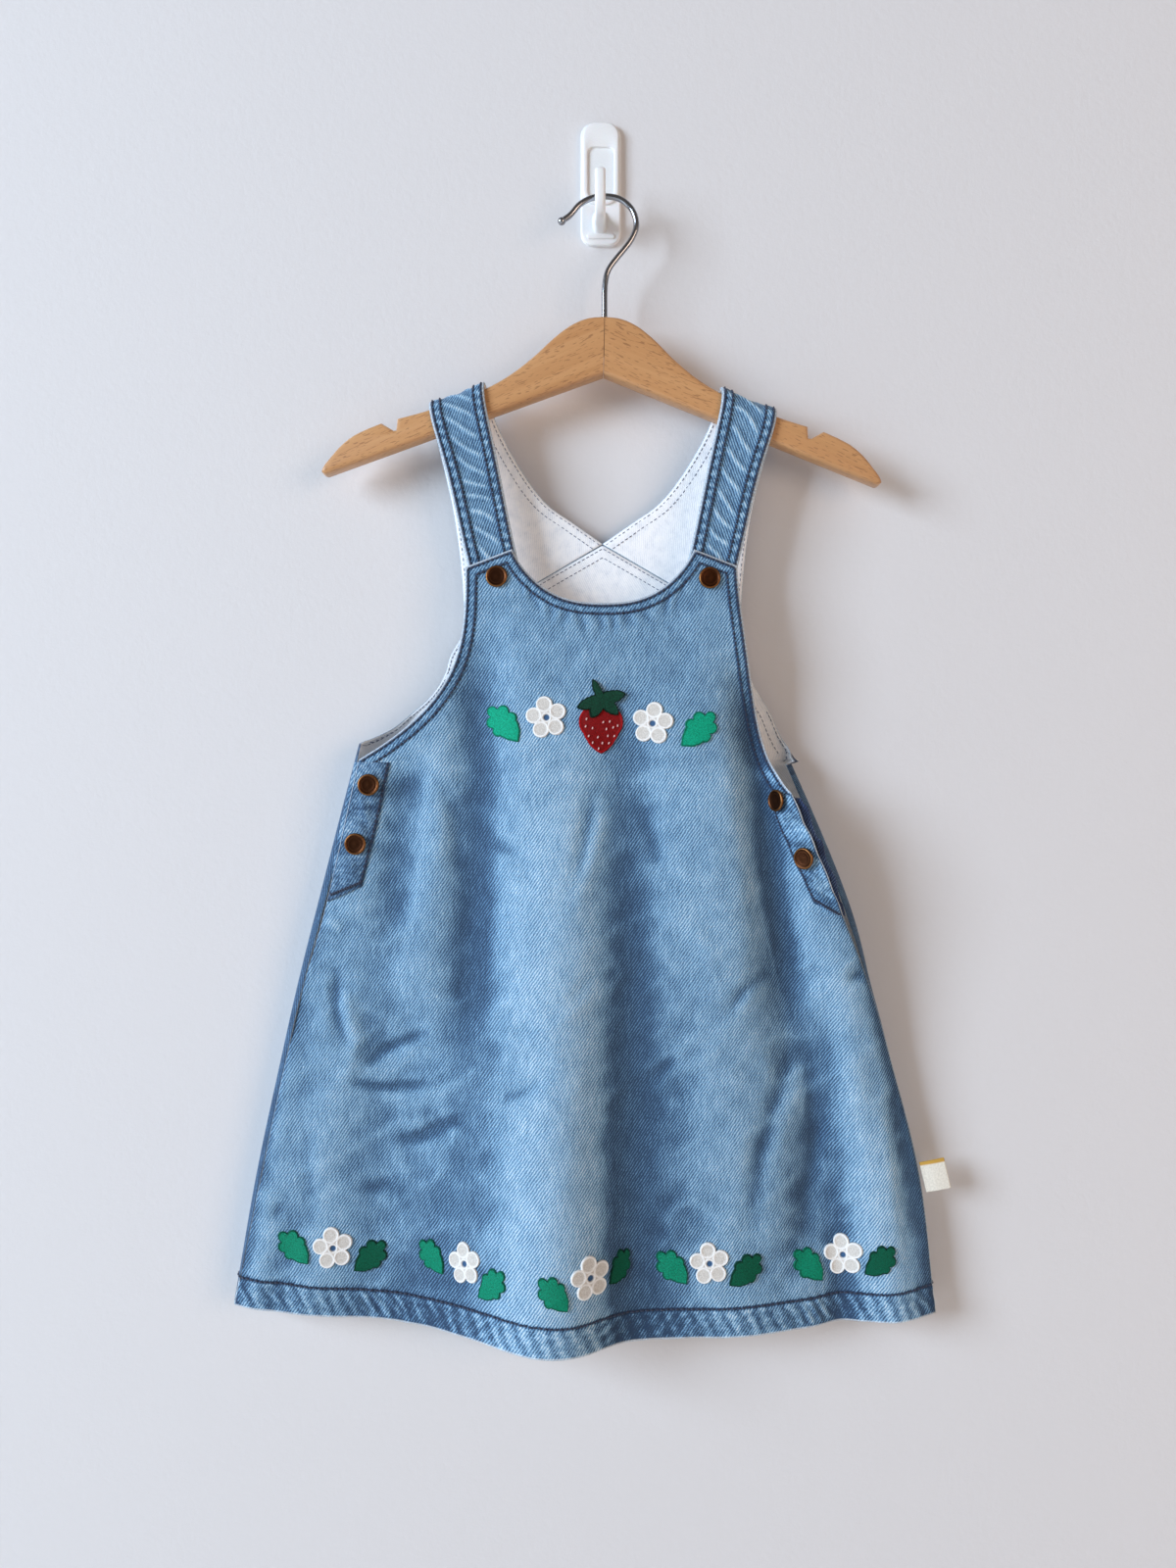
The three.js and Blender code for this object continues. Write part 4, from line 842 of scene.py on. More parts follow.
# The hidden side creases as unevenly as the front, so these are like those, placed elsewhere.
BACK_CREASES = [
    ((-120, -470), (-98, -478), (-80, -492), 5.0, 1.3),
    ((-96, -540), (-120, -552), (-140, -570), 4.4, -1.5),
    ((-40, -430), (-20, -446), (-6, -470), 5.2, 1.2),
    ((30, -520), (52, -532), (80, -538), 4.4, -1.6),
    ((70, -440), (88, -456), (98, -480), 4.6, 1.2),
    ((112, -560), (122, -590), (126, -622), 5.4, -1.3),
    ((-60, -588), (-36, -600), (-8, -604), 4.6, -1.2),
    ((-150, -610), (-160, -630), (-166, -650), 5.0, 1.0),
    ((-70, -350), (-58, -372), (-54, -400), 5.4, -1.1),
    ((40, -340), (52, -362), (56, -388), 5.4, 1.1),
    ((-10, -330), (0, -352), (4, -378), 4.6, -0.9),
    ((140, -470), (146, -500), (150, -530), 4.2, -1.1),
]


def back_row(up):
    """One row of the back panel's face, from the left seam round the flat of the back to the right."""
    skirt, rise = min(up, 1), max(0, up - 1)
    level = level_values(BACK_LEVELS, np.array(skirt))
    flat_y = mix(level[0], YOKE_CORNER[1], rise)
    seams, turned = {}, {}
    for side, sign, column in (("left", -1, 0), ("right", 1, 3)):
        seam = front_edges(np.array(skirt))[column:column + 3].copy()
        corner = BACK_UNDERARM[side]
        if up > 1:
            reach = armhole_reach(side, rise)
            seam = np.array([
                mix(STRAP_MIDDLE + sign * YOKE_CORNER[0], corner[0], reach),
                mix(YOKE_CORNER[1], corner[1], (1 - rise) ** 9), mix(corner[2], YOKE_CORNER[2], rise)])
            # The armholes' edges show as narrow white bands outside the front's.
            if side == "left":
                seam[0] -= 8.5 * ease(rise, 0.02, 0.3) * (1 - ease(rise, 0.7, 1))
            else:
                seam[0] += 6.5 * ease(rise, 0, 0.12) * (1 - ease(rise, 0.3, 0.65))
        else:
            part = ease(skirt, 0.55, 1)
            seam[1] = mix(seam[1], corner[1], part)
            seam[2] += (corner[2] - UNDERARM[column + 2]) * part
        bulge = level[1 if side == "left" else 2] * (1 - rise) ** 5
        full = math.radians(35)
        start = full * (1 - ease(rise, 0, 0.2))
        wide = bulge / (1 - math.cos(full)) + 3
        deep = (flat_y - seam[1]) / (1 + math.sin(start))
        angle = np.linspace(-start, math.pi / 2, 22)
        x = seam[0] + sign * wide * (np.cos(angle) - math.cos(start))
        turned[side] = np.c_[x, flat_y - deep + deep * np.sin(angle)]
        seams[side] = seam
    left, right = turned["left"], turned["right"][::-1]
    flat = mix(left[-1], right[0], np.linspace(0, 1, 122)[1:-1, None])
    row = np.concatenate([left, flat, right])
    x = row[:, 0]
    share = np.clip((x - x[0]) / (x[-1] - x[0]), 0, 1)
    z = mix(seams["left"][2], seams["right"][2], share)
    z = z - HEM_DROP * 4 * share * (1 - share) * max(0, 1 - up) ** 2
    z = z + GABLE_RISE * (1 - np.abs(2 * share - 1)) * rise**2
    clear = ease(np.minimum(share, 1 - share), 0.03, 0.2)
    y = row[:, 1] + clear * (fold_rise(BACK_FOLDS, x, z) - crease_rise(BACK_CREASES, x, z) * 0.8)
    y = y + clear * 0.35 * unevenness(x, z, 24, 12)
    y = y + ease(np.minimum(share, 1 - share), 0, 0.04) * 0.7 * hem_puckers(x, z, 15)
    return np.c_[x, y, z]


SEAM_GAP = 0.4
back_grid = np.stack([back_row(float(up)) for up in rows_up(44)])
back_grid[:, 0, 0] -= SEAM_GAP
back_grid[:, -1, 0] += SEAM_GAP
back_out = -grid_normals(back_grid)
back_edge_line, back_edge = turned_edge(back_grid)
back_hem = back_grid[..., 2] - hem_line(back_grid[..., 0])
back_inner = reverse_face(back_grid, back_out, back_hem)
back = add_cloth(
    "denim_back_panel", back_grid, back_inner, DENIM, cloth_run(back_grid),
    edge=back_edge, hem=back_hem, wear=fold_shade_and_wear(back_grid[..., 1]))
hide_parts("back_panel")


# ---- Side slits ----
# Each side seam ends in a slit that closes with two snaps: a strip of denim is stitched down along
# the front's edge, and a matching extension of the back lies behind it.
# Darker copies of the denim, as painted shade: the left slit's strip and extension sit in shade, and the
# right extension fills the dark gap behind the slit's edge.
shaded_slit_denim = denim_material("slit_denim_darkened_as_shade", "#203854", "#4a6f93", "#7da3c0", "#bccfdb", 0.16)
shaded_denim = denim_material("denim_painted_dark_as_gap_shadow", "#141f38", "#24355a", "#3a527c", "#6b86a6", 0.0)


# Where the slits end, as a share of the way from the hem to the underarm.
SLIT_LOW = 0.8


def strip_grid(side, lift, pucker=0.0, spread=0.0):
    """A strip along one side's slit, lift millimetres out from the front panel's face. Its inner
    side settles into the seam; spread moves it out past the panel's edge."""
    sign, low_width, top_width = {"left": (1, 20.5, 18.5), "right": (-1, 17.0, 12.5)}[side]
    share, up = np.meshgrid(np.linspace(0, 1, 15), np.linspace(SLIT_LOW, 0.995, 64))
    edges = front_edges(up)
    column = 0 if side == "left" else 3
    slant = 9 * (1 - ease(up, SLIT_LOW, 0.95))
    width = mix(low_width, top_width, ease(up, SLIT_LOW, 1))
    x = edges[..., column] + sign * (0.1 + share * width)
    z = edges[..., column + 2] + slant * share
    if side == "right":
        x = x - 0.8 * unevenness(z, z * 0, 7, 31) * ease(share, 0.7, 1)
    waves = np.sin(2 * math.pi * (z + 0.6 * sign * share * width) / 13 + 3.4 * unevenness(x, z, 11, 33))
    settled = mix(1, 0.35, ease(share, 0.5, 1)) if lift > 0 else 1.0
    x = x - sign * spread * mix(0.4, 1, ease(up, SLIT_LOW, 0.9))
    bed = on_front(x, z, lift * settled + pucker * (0.5 + 0.5 * waves) * bell(share, 0.5, 0.35))[0]
    return bed[:, ::-1] if side == "right" else bed


def slit_piece(name, outer, inner, material, rubbed=True):
    """A strip beside a slit. Only its fold along the slit is rubbed. Where it is sewn down a dark line is
    painted as shade, and soft bands across it are painted as the light and shade of small folds."""
    run = cloth_run(outer)
    from_side = run[..., 0] - run[:, :1, 0] if name.endswith("left") else run[:, -1:, 0] - run[..., 0]
    wide = np.max(from_side, axis=1)[:, None]
    seam_and_fold_shade = -1.5 * bell(wide - from_side, 1.0, 1.3) + 0.8 * unevenness(from_side / 4, outer[..., 2], 5, 36)
    laid_out = np.stack([outer[..., 0] + 300, outer[..., 2], outer[..., 0] * 0], -1)
    from_fold = np.where(from_side < 1, from_side + 0.3, 4.5) if rubbed else from_side + 90
    return add_cloth(name, outer, inner, [material, reverse, material], laid_out,
                     edge=from_fold, hem=99.0, wear=seam_and_fold_shade)


# Each side: cut size in metres, its area without the slanting end, how far the extension spreads
# past the front in millimetres, and the denim of the strip and of the extension.
SLITS = {
    "left": ((0.0225, 0.074), 0.00157, 2.8, shaded_slit_denim, shaded_slit_denim),
    "right": ((0.0185, 0.074), 0.00122, 4.4, washed_denim, shaded_denim),
}
for side, (flat, area, spread, strip_denim, extension_denim) in SLITS.items():
    strip = slit_piece(
        f"slit_facing_{side}", strip_grid(side, 1.25, 1.0), strip_grid(side, 0.1), strip_denim)
    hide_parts(f"slit_strip_{side}")
    behind = strip_grid(side, -2.7, spread=spread), strip_grid(side, -4.0, spread=spread)
    extension = slit_piece(f"slit_extension_{side}", *behind, extension_denim, False)
    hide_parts(f"back_underlap_{side}")


# ---- Straps ----
# Two wide denim straps, sewn to the back in a yoke, run up over the hanger and down behind the
# bib's tabs. Their edges are turned and stitched twice.
# Each row: arm edge x, z; neck edge x, z; depth. From the end behind the tab round to the yoke.
STRAP_LEVELS = np.array([
    (73.5, -259, 46, -252, -30.6), (80.5, -231, 52.6, -224.5, -31.2), (91, -186, 61.8, -179.5, -31.5),
    (100.7, -153, 69.6, -142, -30.6), (101.8, -146.2, 70.4, -134, -29.9),
    (102.2, -142.7, 70.4, -130.3, -26.4), (102, -142.7, 70, -130.3, -17.6),
    (101.4, -146.2, 69, -134, -14.1), (99.6, -160, 64.5, -150, -13.2), (94.4, -180, 50.4, -176.5, -12.4),
    (89, -205, 34.3, -197.5, -11.6), (85, -235, 17.5, -209.5, -10.8), (82.5, -269.5, 0.2, -221.5, -10.1),
])
STRAP_ROWS, STRAP_COLUMNS = 190, 25
# Each strap's grid and the directions out of its cloth, for the stitches.
strap_grids = {}
for side, sign, seed in (("left", -1, 41), ("right", 1, 47)):
    edges = []
    for x_column, z_column in ((0, 1), (2, 3)):
        x, z = STRAP_MIDDLE + sign * STRAP_LEVELS[:, x_column], STRAP_LEVELS[:, z_column]
        z = z - ease(z, -200, -160) * math.tan(HANGER["tilt"]) * (x - HANGER["x"])
        edges.append(smooth_path(np.c_[x, STRAP_LEVELS[:, 4], z], STRAP_ROWS)[:, None])
    grid = mix(edges[0], edges[1], np.linspace(0, 1, STRAP_COLUMNS)[None, :, None])
    out = grid_normals(grid) * -sign
    run = cloth_run(grid)
    wide = (run[:, -1, 0] - run[:, 0, 0])[:, None]
    from_arm = run[..., 0] - run[:, :1, 0]
    from_side = np.minimum(from_arm, wide - from_arm)
    steps = np.linalg.norm(np.diff(grid, axis=0), axis=-1)
    lengthwise = np.r_[np.zeros((1, STRAP_COLUMNS)), np.cumsum(steps, axis=0)]
    # Slanting wrinkles down the middle, and edges that ripple between the two rows of stitches.
    slanted = np.sin(2 * math.pi * (lengthwise - sign * 0.8 * from_arm) / 11
                     + 3.0 * unevenness(from_arm, lengthwise, 18, seed))
    # They are sharp where the strap bends over the arm, and faint in the wide part of the yoke.
    down_back = np.linspace(0, 1, len(grid))[:, None]
    slanted = (2.6 * (0.5 + 0.5 * slanted) ** 5 - 0.7) * mix(1, 0.22, ease(down_back, 0.5, 0.7))
    rippled = np.sin(2 * math.pi * lengthwise / 6.2 + 2.6 * unevenness(from_arm, lengthwise, 11, seed + 1))
    rise = 0.34 * slanted * ease(from_side, 6, 11) + 0.3 * rippled * bell(from_side, 3.6, 2.4)
    rise += 0.45 * (1 - ease(from_side, 6, 7.4)) - 0.3 * bell(from_side, STITCH_ROWS[0], 0.7) - 0.3
    rise *= ease(from_side, 0, 1)
    strap_grids[side] = grid + out * rise[..., None], out
    run[..., 1] = lengthwise
    # The wrinkles' crests are painted lighter and their hollows darker, as wear together with painted light
    # and shade.
    strap = add_cloth(
        f"denim_strap_{side}", strap_grids[side][0], grid - out * 1.5, DENIM, run + 600 + 200 * sign,
        edge=from_side, hem=99.0, wear=np.clip((rise - blurred(rise, 6)) / 0.35, -1, 1))
    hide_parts(f"strap_{side}")


# ---- Topstitching ----
# Navy polyester thread in lockstitch: two rows round every turned edge, one row at the hem and
# heavy bars at the ends of the slits. On the white reverse the same rows show thin and grey-blue.
def thread_material(name, dark, light, roughness=0.55):
    """Twisted thread: fine slanting plies catch the light, and its dye varies a little."""
    thread = new_material(name)
    plies = noise(thread, None, 1600.0)
    surface(thread, ramp(thread, plies, (0.35, dark), (0.65, light)), roughness, plies, 0.4, 0.0002, {
        "IOR": 1.5, "Sheen Weight": 0.2})
    return thread


navy_thread = thread_material("navy_polyester_thread", "#0f1a33", "#1c2c4c")
show_through_thread = thread_material("thread_on_reverse", "#48556f", "#6c7993")


def stitches(line, out, pitch=3.0, long=2.7, thick=0.55):
    """Stitches end to end along a line of points, arched out of the cloth in the directions given."""
    run = run_along(line)
    count = max(1, int(run[-1] / pitch))
    at = (np.arange(count) + 0.5) * run[-1] / count
    centre, ahead, behind = (at_places(at + step, run, line) for step in (0, 1, -1))
    along = (ahead - behind) / np.linalg.norm(ahead - behind, axis=1)[:, None]
    beside = np.cross(at_places(at, run, out), along)
    beside /= np.linalg.norm(beside, axis=1)[:, None]
    up = np.cross(along, beside)
    share = np.array([-1, -0.78, -0.3, 0.3, 0.78, 1]) * long / 2
    radius = np.array([0.3, 0.8, 1, 1, 0.8, 0.3]) * thick
    height = np.array([-0.9, -0.05, 0.3, 0.3, -0.05, -0.9]) * thick
    angle = np.linspace(0, 2 * math.pi, 6, endpoint=False)
    side = (radius[:, None] * np.cos(angle)).ravel()
    rise = (height[:, None] + radius[:, None] * np.sin(angle)).ravel()
    forward = np.repeat(share, 6)
    points = (centre[:, None] + along[:, None] * forward[:, None] + beside[:, None] * side[:, None]
              + up[:, None] * rise[:, None])
    grid = np.arange(36).reshape(6, 6)
    one = quads(grid, closed=True).tolist() + [grid[0].tolist(), grid[-1].tolist()]
    faces = [[corner + 36 * number for corner in face] for number in range(count) for face in one]
    return points.reshape(-1, 3), faces


def inset_line(line, by):
    """A line of x, z moved to its right by a distance, with the overlaps at its corners cut off."""
    fine = even_steps(line, 1200)
    ahead = np.diff(fine, axis=0)
    ahead /= np.linalg.norm(ahead, axis=1)[:, None]
    moved = (fine[:-1] + fine[1:]) / 2 + by * np.c_[ahead[:, 1], -ahead[:, 0]]
    return moved[distance_to(line, moved[:, 0], moved[:, 1]) > by - 0.04]


def on_grid(grid, out, x, z, lift):
    """Points on a fine grid of cloth at x, z, and the directions out of it."""
    flat, ways = grid.reshape(-1, 3), out.reshape(-1, 3)
    nearest = np.array([np.argmin((flat[:, 0] - a) ** 2 + (flat[:, 2] - b) ** 2) for a, b in zip(x, z)])
    base, way = flat[nearest], ways[nearest]
    lean = np.where(np.abs(way[:, 1]) < 0.3, 0.3 * np.sign(way[:, 1]), way[:, 1])
    y = base[:, 1] - (way[:, 0] * (x - base[:, 0]) + way[:, 2] * (z - base[:, 2])) / lean
    return np.c_[x, y, z] + way * lift, way


def at_height(grid, out, field, height, lift, rows=60):
    """The line across a grid where a field has the given value, lifted off the cloth."""
    def pick(values):
        return np.array([at_places(height, field[:rows, c], values[:rows, c]) for c in range(grid.shape[1])])
    return pick(grid) + pick(out) * lift, pick(out)


# Thin stitches for the reverse, and the back's rows from a little below its underarm up.
INSIDE = {"long": 2.2, "thick": 0.24}
TOP = slice(150, None)
front_rows, inside_rows = [], []
back_rows = [stitches(*at_height(back_grid, back_out, back_hem, HEM_DEPTH, 0.25))]
for by in STITCH_ROWS:
    path = inset_line(bib_edge, by)
    front_rows.append(stitches(*on_front(*path.T, 0.28)))
    path = inset_line(back_edge_line, by)
    back_rows.append(stitches(*on_grid(back_grid[TOP], back_out[TOP], *path.T, 0.2)))
    seen_inside = on_grid(back_inner[TOP], -back_out[TOP], *path.T, 0.1)
    inside_rows.append(stitches(*seen_inside, **INSIDE))
front_rows.append(stitches(*at_height(front_grid, front_out, front_hem, HEM_DEPTH, 0.25)))


def strap_line(side, distance, from_neck, depth):
    """A line along a strap at a distance from one of its edges, depth millimetres out of its face."""
    line, ways = [], []
    for row, way in zip(*strap_grids[side]):
        run = run_along(row)
        at = run[-1] - distance if from_neck else distance
        line.append(at_places(at, run, row))
        ways.append(at_places(at, run, way))
    line, ways = np.array(line), np.array(ways)
    return line + ways * depth, ways * (1 if depth > 0 else -1)


# The outer rows start just inside the strap's end, and the inner ones past the bend over the arm.
STRAP_END, PAST_ARM = 2, 100
strap_rows = {"left": [], "right": []}
for side, rows in strap_rows.items():
    for distance in STITCH_ROWS:
        for from_neck in (False, True):
            line, ways = strap_line(side, distance, from_neck, 0.2)
            rows.append(stitches(line[STRAP_END:], ways[STRAP_END:]))
            # Underneath, the rows show on the yoke behind the neck.
            line, ways = strap_line(side, distance, from_neck, -1.5)
            inside_rows.append(stitches(line[PAST_ARM:], ways[PAST_ARM:], **INSIDE))

# One row down the inner side of each slit strip, and a heavy bar across its foot.
SEWN_COLUMN, BAR_ROW = 13, 3
slit_rows = []
for side in SLITS:
    facing = strip_grid(side, 1.3, 1.0)
    facing = facing[:, ::-1] if side == "right" else facing
    facing_out = grid_normals(facing)
    facing_out *= -np.sign(facing_out[..., 1:2])
    slit_rows.append(stitches(facing[2:, SEWN_COLUMN], facing_out[2:, SEWN_COLUMN]))
    bar_line, bar_out = facing[BAR_ROW, 1:-1], facing_out[BAR_ROW, 1:-1]
    slit_rows.append(stitches(bar_line, bar_out, pitch=1.5, long=1.9, thick=0.8))

SEWN = [
    ("front_topstitching", front_rows, navy_thread), ("back_topstitching", back_rows, navy_thread),
    ("strap_topstitching_left", strap_rows["left"], navy_thread),
    ("strap_topstitching_right", strap_rows["right"], navy_thread),
    ("slit_topstitching", slit_rows, navy_thread), ("stitches_seen_inside", inside_rows, show_through_thread),
]
for name, rows, thread in SEWN:
    add_mesh(name, *joined(rows), [thread])


# ---- Embroidery ----
# Machine embroidery in rayon thread: five-petalled flowers with a raised satin border round each
# petal, scalloped leaves, and one strawberry with a calyx and seeds, all worked on the denim.
def embroidery_material(name, fill_dark, fill_light, border_colour, shine=0.5):
    """Rayon thread. The fill is laid in short stitches that speckle; the satin border shines."""
    rayon = new_material(name)
    place = attribute(rayon, "place", "Vector")
    # A thread is 0.35 mm wide; the rows of the fill are drawn 0.6 mm apart so that they show.
    rows = wave(rayon, place, 0.6, 3.5, 3.0, 2.0)
    tone = maths(rayon, "MULTIPLY_ADD", rows, 0.35, noise(rayon, place, 1.1, 2.0, 0.8))
    fill = ramp(rayon, tone, (0.48, fill_dark), (0.80, fill_light))
    colour = blend(rayon, attribute(rayon, "border"), fill, linear(border_colour))
    # The denim shows through the small round hole in the middle of a flower.
    colour = blend(rayon, attribute(rayon, "open_middle"), colour, linear("#3c5f86"))
    surface(rayon, colour, shine, tone, 0.75, 0.0004, {"IOR": 1.5, "Specular IOR Level": 0.12})
    return rayon


white_rayon = embroidery_material("white_rayon_embroidery", "#bdb8b0", "#e4e1db", "#f8f7f4", 0.42)
emerald_rayon = embroidery_material("emerald_rayon_embroidery", "#026a4e", "#10bb92", "#04634a")
forest_rayon = embroidery_material("forest_rayon_embroidery", "#02180f", "#0a4a34", "#02150e")
red_rayon = embroidery_material("red_rayon_embroidery", "#5c0204", "#900509", "#a30a10")
seed_thread = thread_material("pale_seed_thread", "#d9a3a0", "#eecbc6", 0.5)

# Rounds whose outline together makes each motif: x, z and radius.
PETALS = [(7.3 * math.sin(turn), 7.8 * math.cos(turn), 4.75) for turn in np.arange(5) * 2 * math.pi / 5]
LEAF_ROUNDS = [(10.4, 0.3, 3.1), (5.6, 4.7, 3.5), (6.0, -4.4, 3.5), (-0.6, 5.4, 3.4), (-0.2, -5.2, 3.4),
               (2.0, 0.0, 6.6), (-3.0, 0.0, 6.6), (-6.0, 0.2, 5.3), (-8.4, 0.5, 3.7), (-10.4, 0.8, 2.3),
               (-12.0, 1.0, 1.2), (-13.0, 1.2, 0.5)]
BERRY_ROUNDS = [(-2.9, 3.6, 9.8), (2.9, 3.6, 9.8), (0, -0.8, 10.3), (0, -4.6, 8.3), (0, -8.0, 5.8),
                (0, -10.8, 3.5), (0, -12.9, 1.7)]
CALYX_TIPS = [(-4.4, 10.8, 2.1), (12.9, 3.0, 3.3), (9.2, -8.0, 3.2), (-5.2, -9.8, 3.2), (-12.6, -4.6, 3.2)]
CALYX_ROUNDS = [(0, -0.6, 4.4)] + [
    (x * share, z * share, wide * size)
    for x, z, wide in CALYX_TIPS
    for share, size in ((0.3, 1.15), (0.5, 1.1), (0.68, 0.95), (0.82, 0.68), (0.93, 0.4), (0.99, 0.2))]


def outline_round(rounds, count):
    """How far the outline of overlapping rounds lies from the middle, and the directions there."""
    angle = np.linspace(0, 2 * math.pi, count, endpoint=False)
    ways = np.c_[np.cos(angle), np.sin(angle)]
    reach = np.full(count, 0.5)
    for x, z, radius in rounds:
        forward = ways @ np.array([x, z])
        under_root = forward**2 - (x * x + z * z - radius**2)
        far = forward + np.sqrt(np.maximum(under_root, 0))
        reach = np.where(under_root > 0, np.maximum(reach, far), reach)
    return reach, ways


def motif(name, cad_node, slot, material, rounds, x, z, turn=0.0, scale=1.0, squeeze=1.0, seat=0.0,
          count=140):
    """A raised motif on the front panel. Its height and border follow its outline, or in a flower
    its petals."""
    flower = rounds is PETALS
    reach, ways = outline_round(rounds, count)
    share = np.linspace(0.02, 1, 30) if flower else np.sqrt(np.linspace(0.0004, 1, 22))
    local = share[:, None, None] * (reach[:, None] * ways)[None]
    inside = (1 - share)[:, None] * reach[None]
    if flower:
        from_rounds = [(np.hypot(local[..., 0] - a, local[..., 1] - b), r) for a, b, r in rounds]
        rims = [np.where(off < r + 0.2, bell(off - r + 0.62, 0, 0.62), 0) for off, r in from_rounds]
        ring = np.max(rims, axis=0)
        middle = np.hypot(local[..., 0], local[..., 1])
        border = np.maximum(ring, bell(middle, 2.5, 0.5))
        height = (0.55 + 0.42 * border) * ease(middle, 1.3, 2.1) + 0.05
        hole = 1 - ease(middle, 1.45, 1.95)
    else:
        border = bell(inside, 0.45, 0.5)
        hole = border * 0
        height = 0.62 + 0.28 * border + 0.12 * ease(inside, 0, 4)
    height = height * (0.55 + 0.45 * ease(inside, 0, 0.35))
    turned = math.radians(turn)
    spread = scale * (local[..., 0] * math.cos(turned) - local[..., 1] * math.sin(turned)) * squeeze
    lifted = scale * (local[..., 0] * math.sin(turned) + local[..., 1] * math.cos(turned))
    top = on_front(x + spread, z + lifted, seat + 0.25 + height)[0]
    foot = on_front(x + spread[-1] * 1.012, z + lifted[-1] * 1.012, seat + 0.02)[0][None]
    under = on_front(x + spread[[-6, 0]], z + lifted[[-6, 0]], seat - 0.1)[0]
    levels = np.concatenate([top, foot, under])
    flat_place = np.concatenate([local, local[-1:], local[[-6, 0]]]) + 40 * len(bpy.data.meshes)
    border = np.concatenate([border, border[-1:] * 0 + 0.6, border[[-6, 0]] * 0])
    hole = np.concatenate([hole, hole[[-1, -6, 0]] * 0])
    points, faces = loft(levels)
    piece = add_mesh(
        f"embroidered_{name}", points, faces, [material],
        place=np.c_[flat_place.reshape(-1, 2), np.zeros(len(points))],
        border=np.clip(border, 0, 1).ravel(), open_middle=hole.ravel())
    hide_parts(cad_node)


# The chest's row: piece, CAD node, slot, thread, rounds, x, z, turn, scale, squeeze, seat and count.
CHEST = [
    ("leaf_chest_left", "chest_leaf_left", "green_thread", emerald_rayon, LEAF_ROUNDS, -56.4, -331, 133),
    ("flower_chest_left", "chest_flower_left", "white_thread", white_rayon, PETALS, -31.8, -327.6, 10),
    ("strawberry", "chest_strawberry", "red_thread", red_rayon, BERRY_ROUNDS, -0.3, -333.7),
    ("calyx", "chest_calyx", "dark_green_thread", forest_rayon, CALYX_ROUNDS, -0.3, -317.0, 0, 1.05, 1.0,
     0.9, 220),
    ("flower_chest_right", "chest_flower_right", "white_thread", white_rayon, PETALS, 29.6, -331, -8),
    ("leaf_chest_right", "chest_leaf_right", "green_thread", emerald_rayon, LEAF_ROUNDS, 56, -335, 47),
]
for row in CHEST:
    motif(*row)

# Seeds of the strawberry, each one short stitch.
SEEDS = [(-8.4, 4.6), (-8.9, 0.2), (-5.0, -0.8), (1.2, 2.8), (5.0, 3.2), (3.0, -1.2), (7.0, -0.2),
         (9.6, 0.8), (-7.2, -5.4), (-2.0, -6.0), (3.8, -5.2), (7.6, -5.2), (-5.0, -9.2), (0.6, -9.4),
         (4.4, -9.4), (-1.6, -12.6)]
seeds = []
for number, (a, b) in enumerate(SEEDS):
    lean = 0.22 * math.sin(number * 2.4)
    ends = np.array([[-0.3 - 0.7 * lean, -0.75], [0.3 + 0.7 * lean, 0.75]])
    line, ways = on_front(-0.3 + a + ends[:, 0], -333.1 + b + ends[:, 1], 1.22)
    seeds.append(stitches(line, ways, long=1.55, thick=0.42))
add_mesh("strawberry_seeds", *joined(seeds), [seed_thread])

# Leaves along the hem are darker, and those that turn away from the window darker still.
hem_green = embroidery_material("green_rayon_embroidery", "#024f3a", "#0ba17c", "#034a37")
shaded_green = embroidery_material("shaded_rayon_embroidery", "#013325", "#06684c", "#022a1f")
# Each flower's x and z and how far the slope of its fold narrows it; then its left leaf's place from
# it, and its right leaf's place, narrowing and thread.
HEM_SPRIGS = [
    (-158.4, -640, 0.98, (-22.6, 0.5), (21.6, -6.2), 0.98, shaded_green),
    (-79.4, -645, 0.8, (-20, 1), (16.4, -9.5), 0.82, hem_green),
    (-6.7, -647.5, 0.92, (-20.2, -6.5), (17.2, 1), 0.62, shaded_green),
    (63.2, -646, 0.98, (-21.4, -2.5), (21.2, -5), 0.98, shaded_green),
    (144, -646, 0.96, (-20.8, -5), (20.6, -2), 0.88, shaded_green),
]
for number, (x, z, squeeze, left, right, right_squeeze, right_green) in enumerate(HEM_SPRIGS, 1):
    flower = f"hem_sprig_{number}_flower"
    motif(flower, flower, "white_thread", white_rayon, PETALS, x, z, 8, squeeze=squeeze)
    for side, (over, above), turn, green, narrowed in (
            ("left", left, 136, hem_green, squeeze), ("right", right, 44, right_green, right_squeeze)):
        leaf = f"hem_sprig_{number}_leaf_{side}"
        motif(leaf, leaf, "green_thread", green, LEAF_ROUNDS, x + over, z + above, turn, 0.93, narrowed)


# ---- Snaps ----
# Six ring snaps: pressed brass caps with an antique copper finish, left dark in the dish and
# rubbed bright on the rim. Two hold the bib to the straps and two close each slit.
antique_copper = new_material("antique_copper_plating")
tarnish = noise(antique_copper, None, 700.0, 4.0, 0.7)
plating = maths(antique_copper, "MULTIPLY_ADD", tarnish, 0.55, attribute(antique_copper, "rub"))
plating = ramp(
    antique_copper, plating, (0.22, "#3a2115"), (0.5, "#54331f"), (0.85, "#7d5230"), (1.0, "#a37a4c"))
surface(
    antique_copper, plating, ranged(antique_copper, tarnish, 0.3, 0.7, 0.28, 0.5), tarnish, 0.15, 0.0002,
    {"Metallic": 1.0})

# Radius, height and how bright the plating is rubbed, from the foot over the rim to the middle.
CAP = [(5.6, 0.0, 0.0), (6.3, 0.25, 0.1), (6.4, 0.8, 0.35), (6.25, 1.3, 0.6), (5.9, 1.65, 0.62),
       (5.5, 1.75, 0.45), (5.1, 1.62, 0.2), (4.8, 1.35, 0.0), (4.3, 1.25, 0.02), (3.9, 1.38, 0.12),
       (3.5, 1.28, 0.02), (2.2, 1.22, 0.0), (0.9, 1.26, 0.05), (0.3, 1.3, 0.08)]
CAP_TURNS = np.linspace(0, 2 * math.pi, 56, endpoint=False)
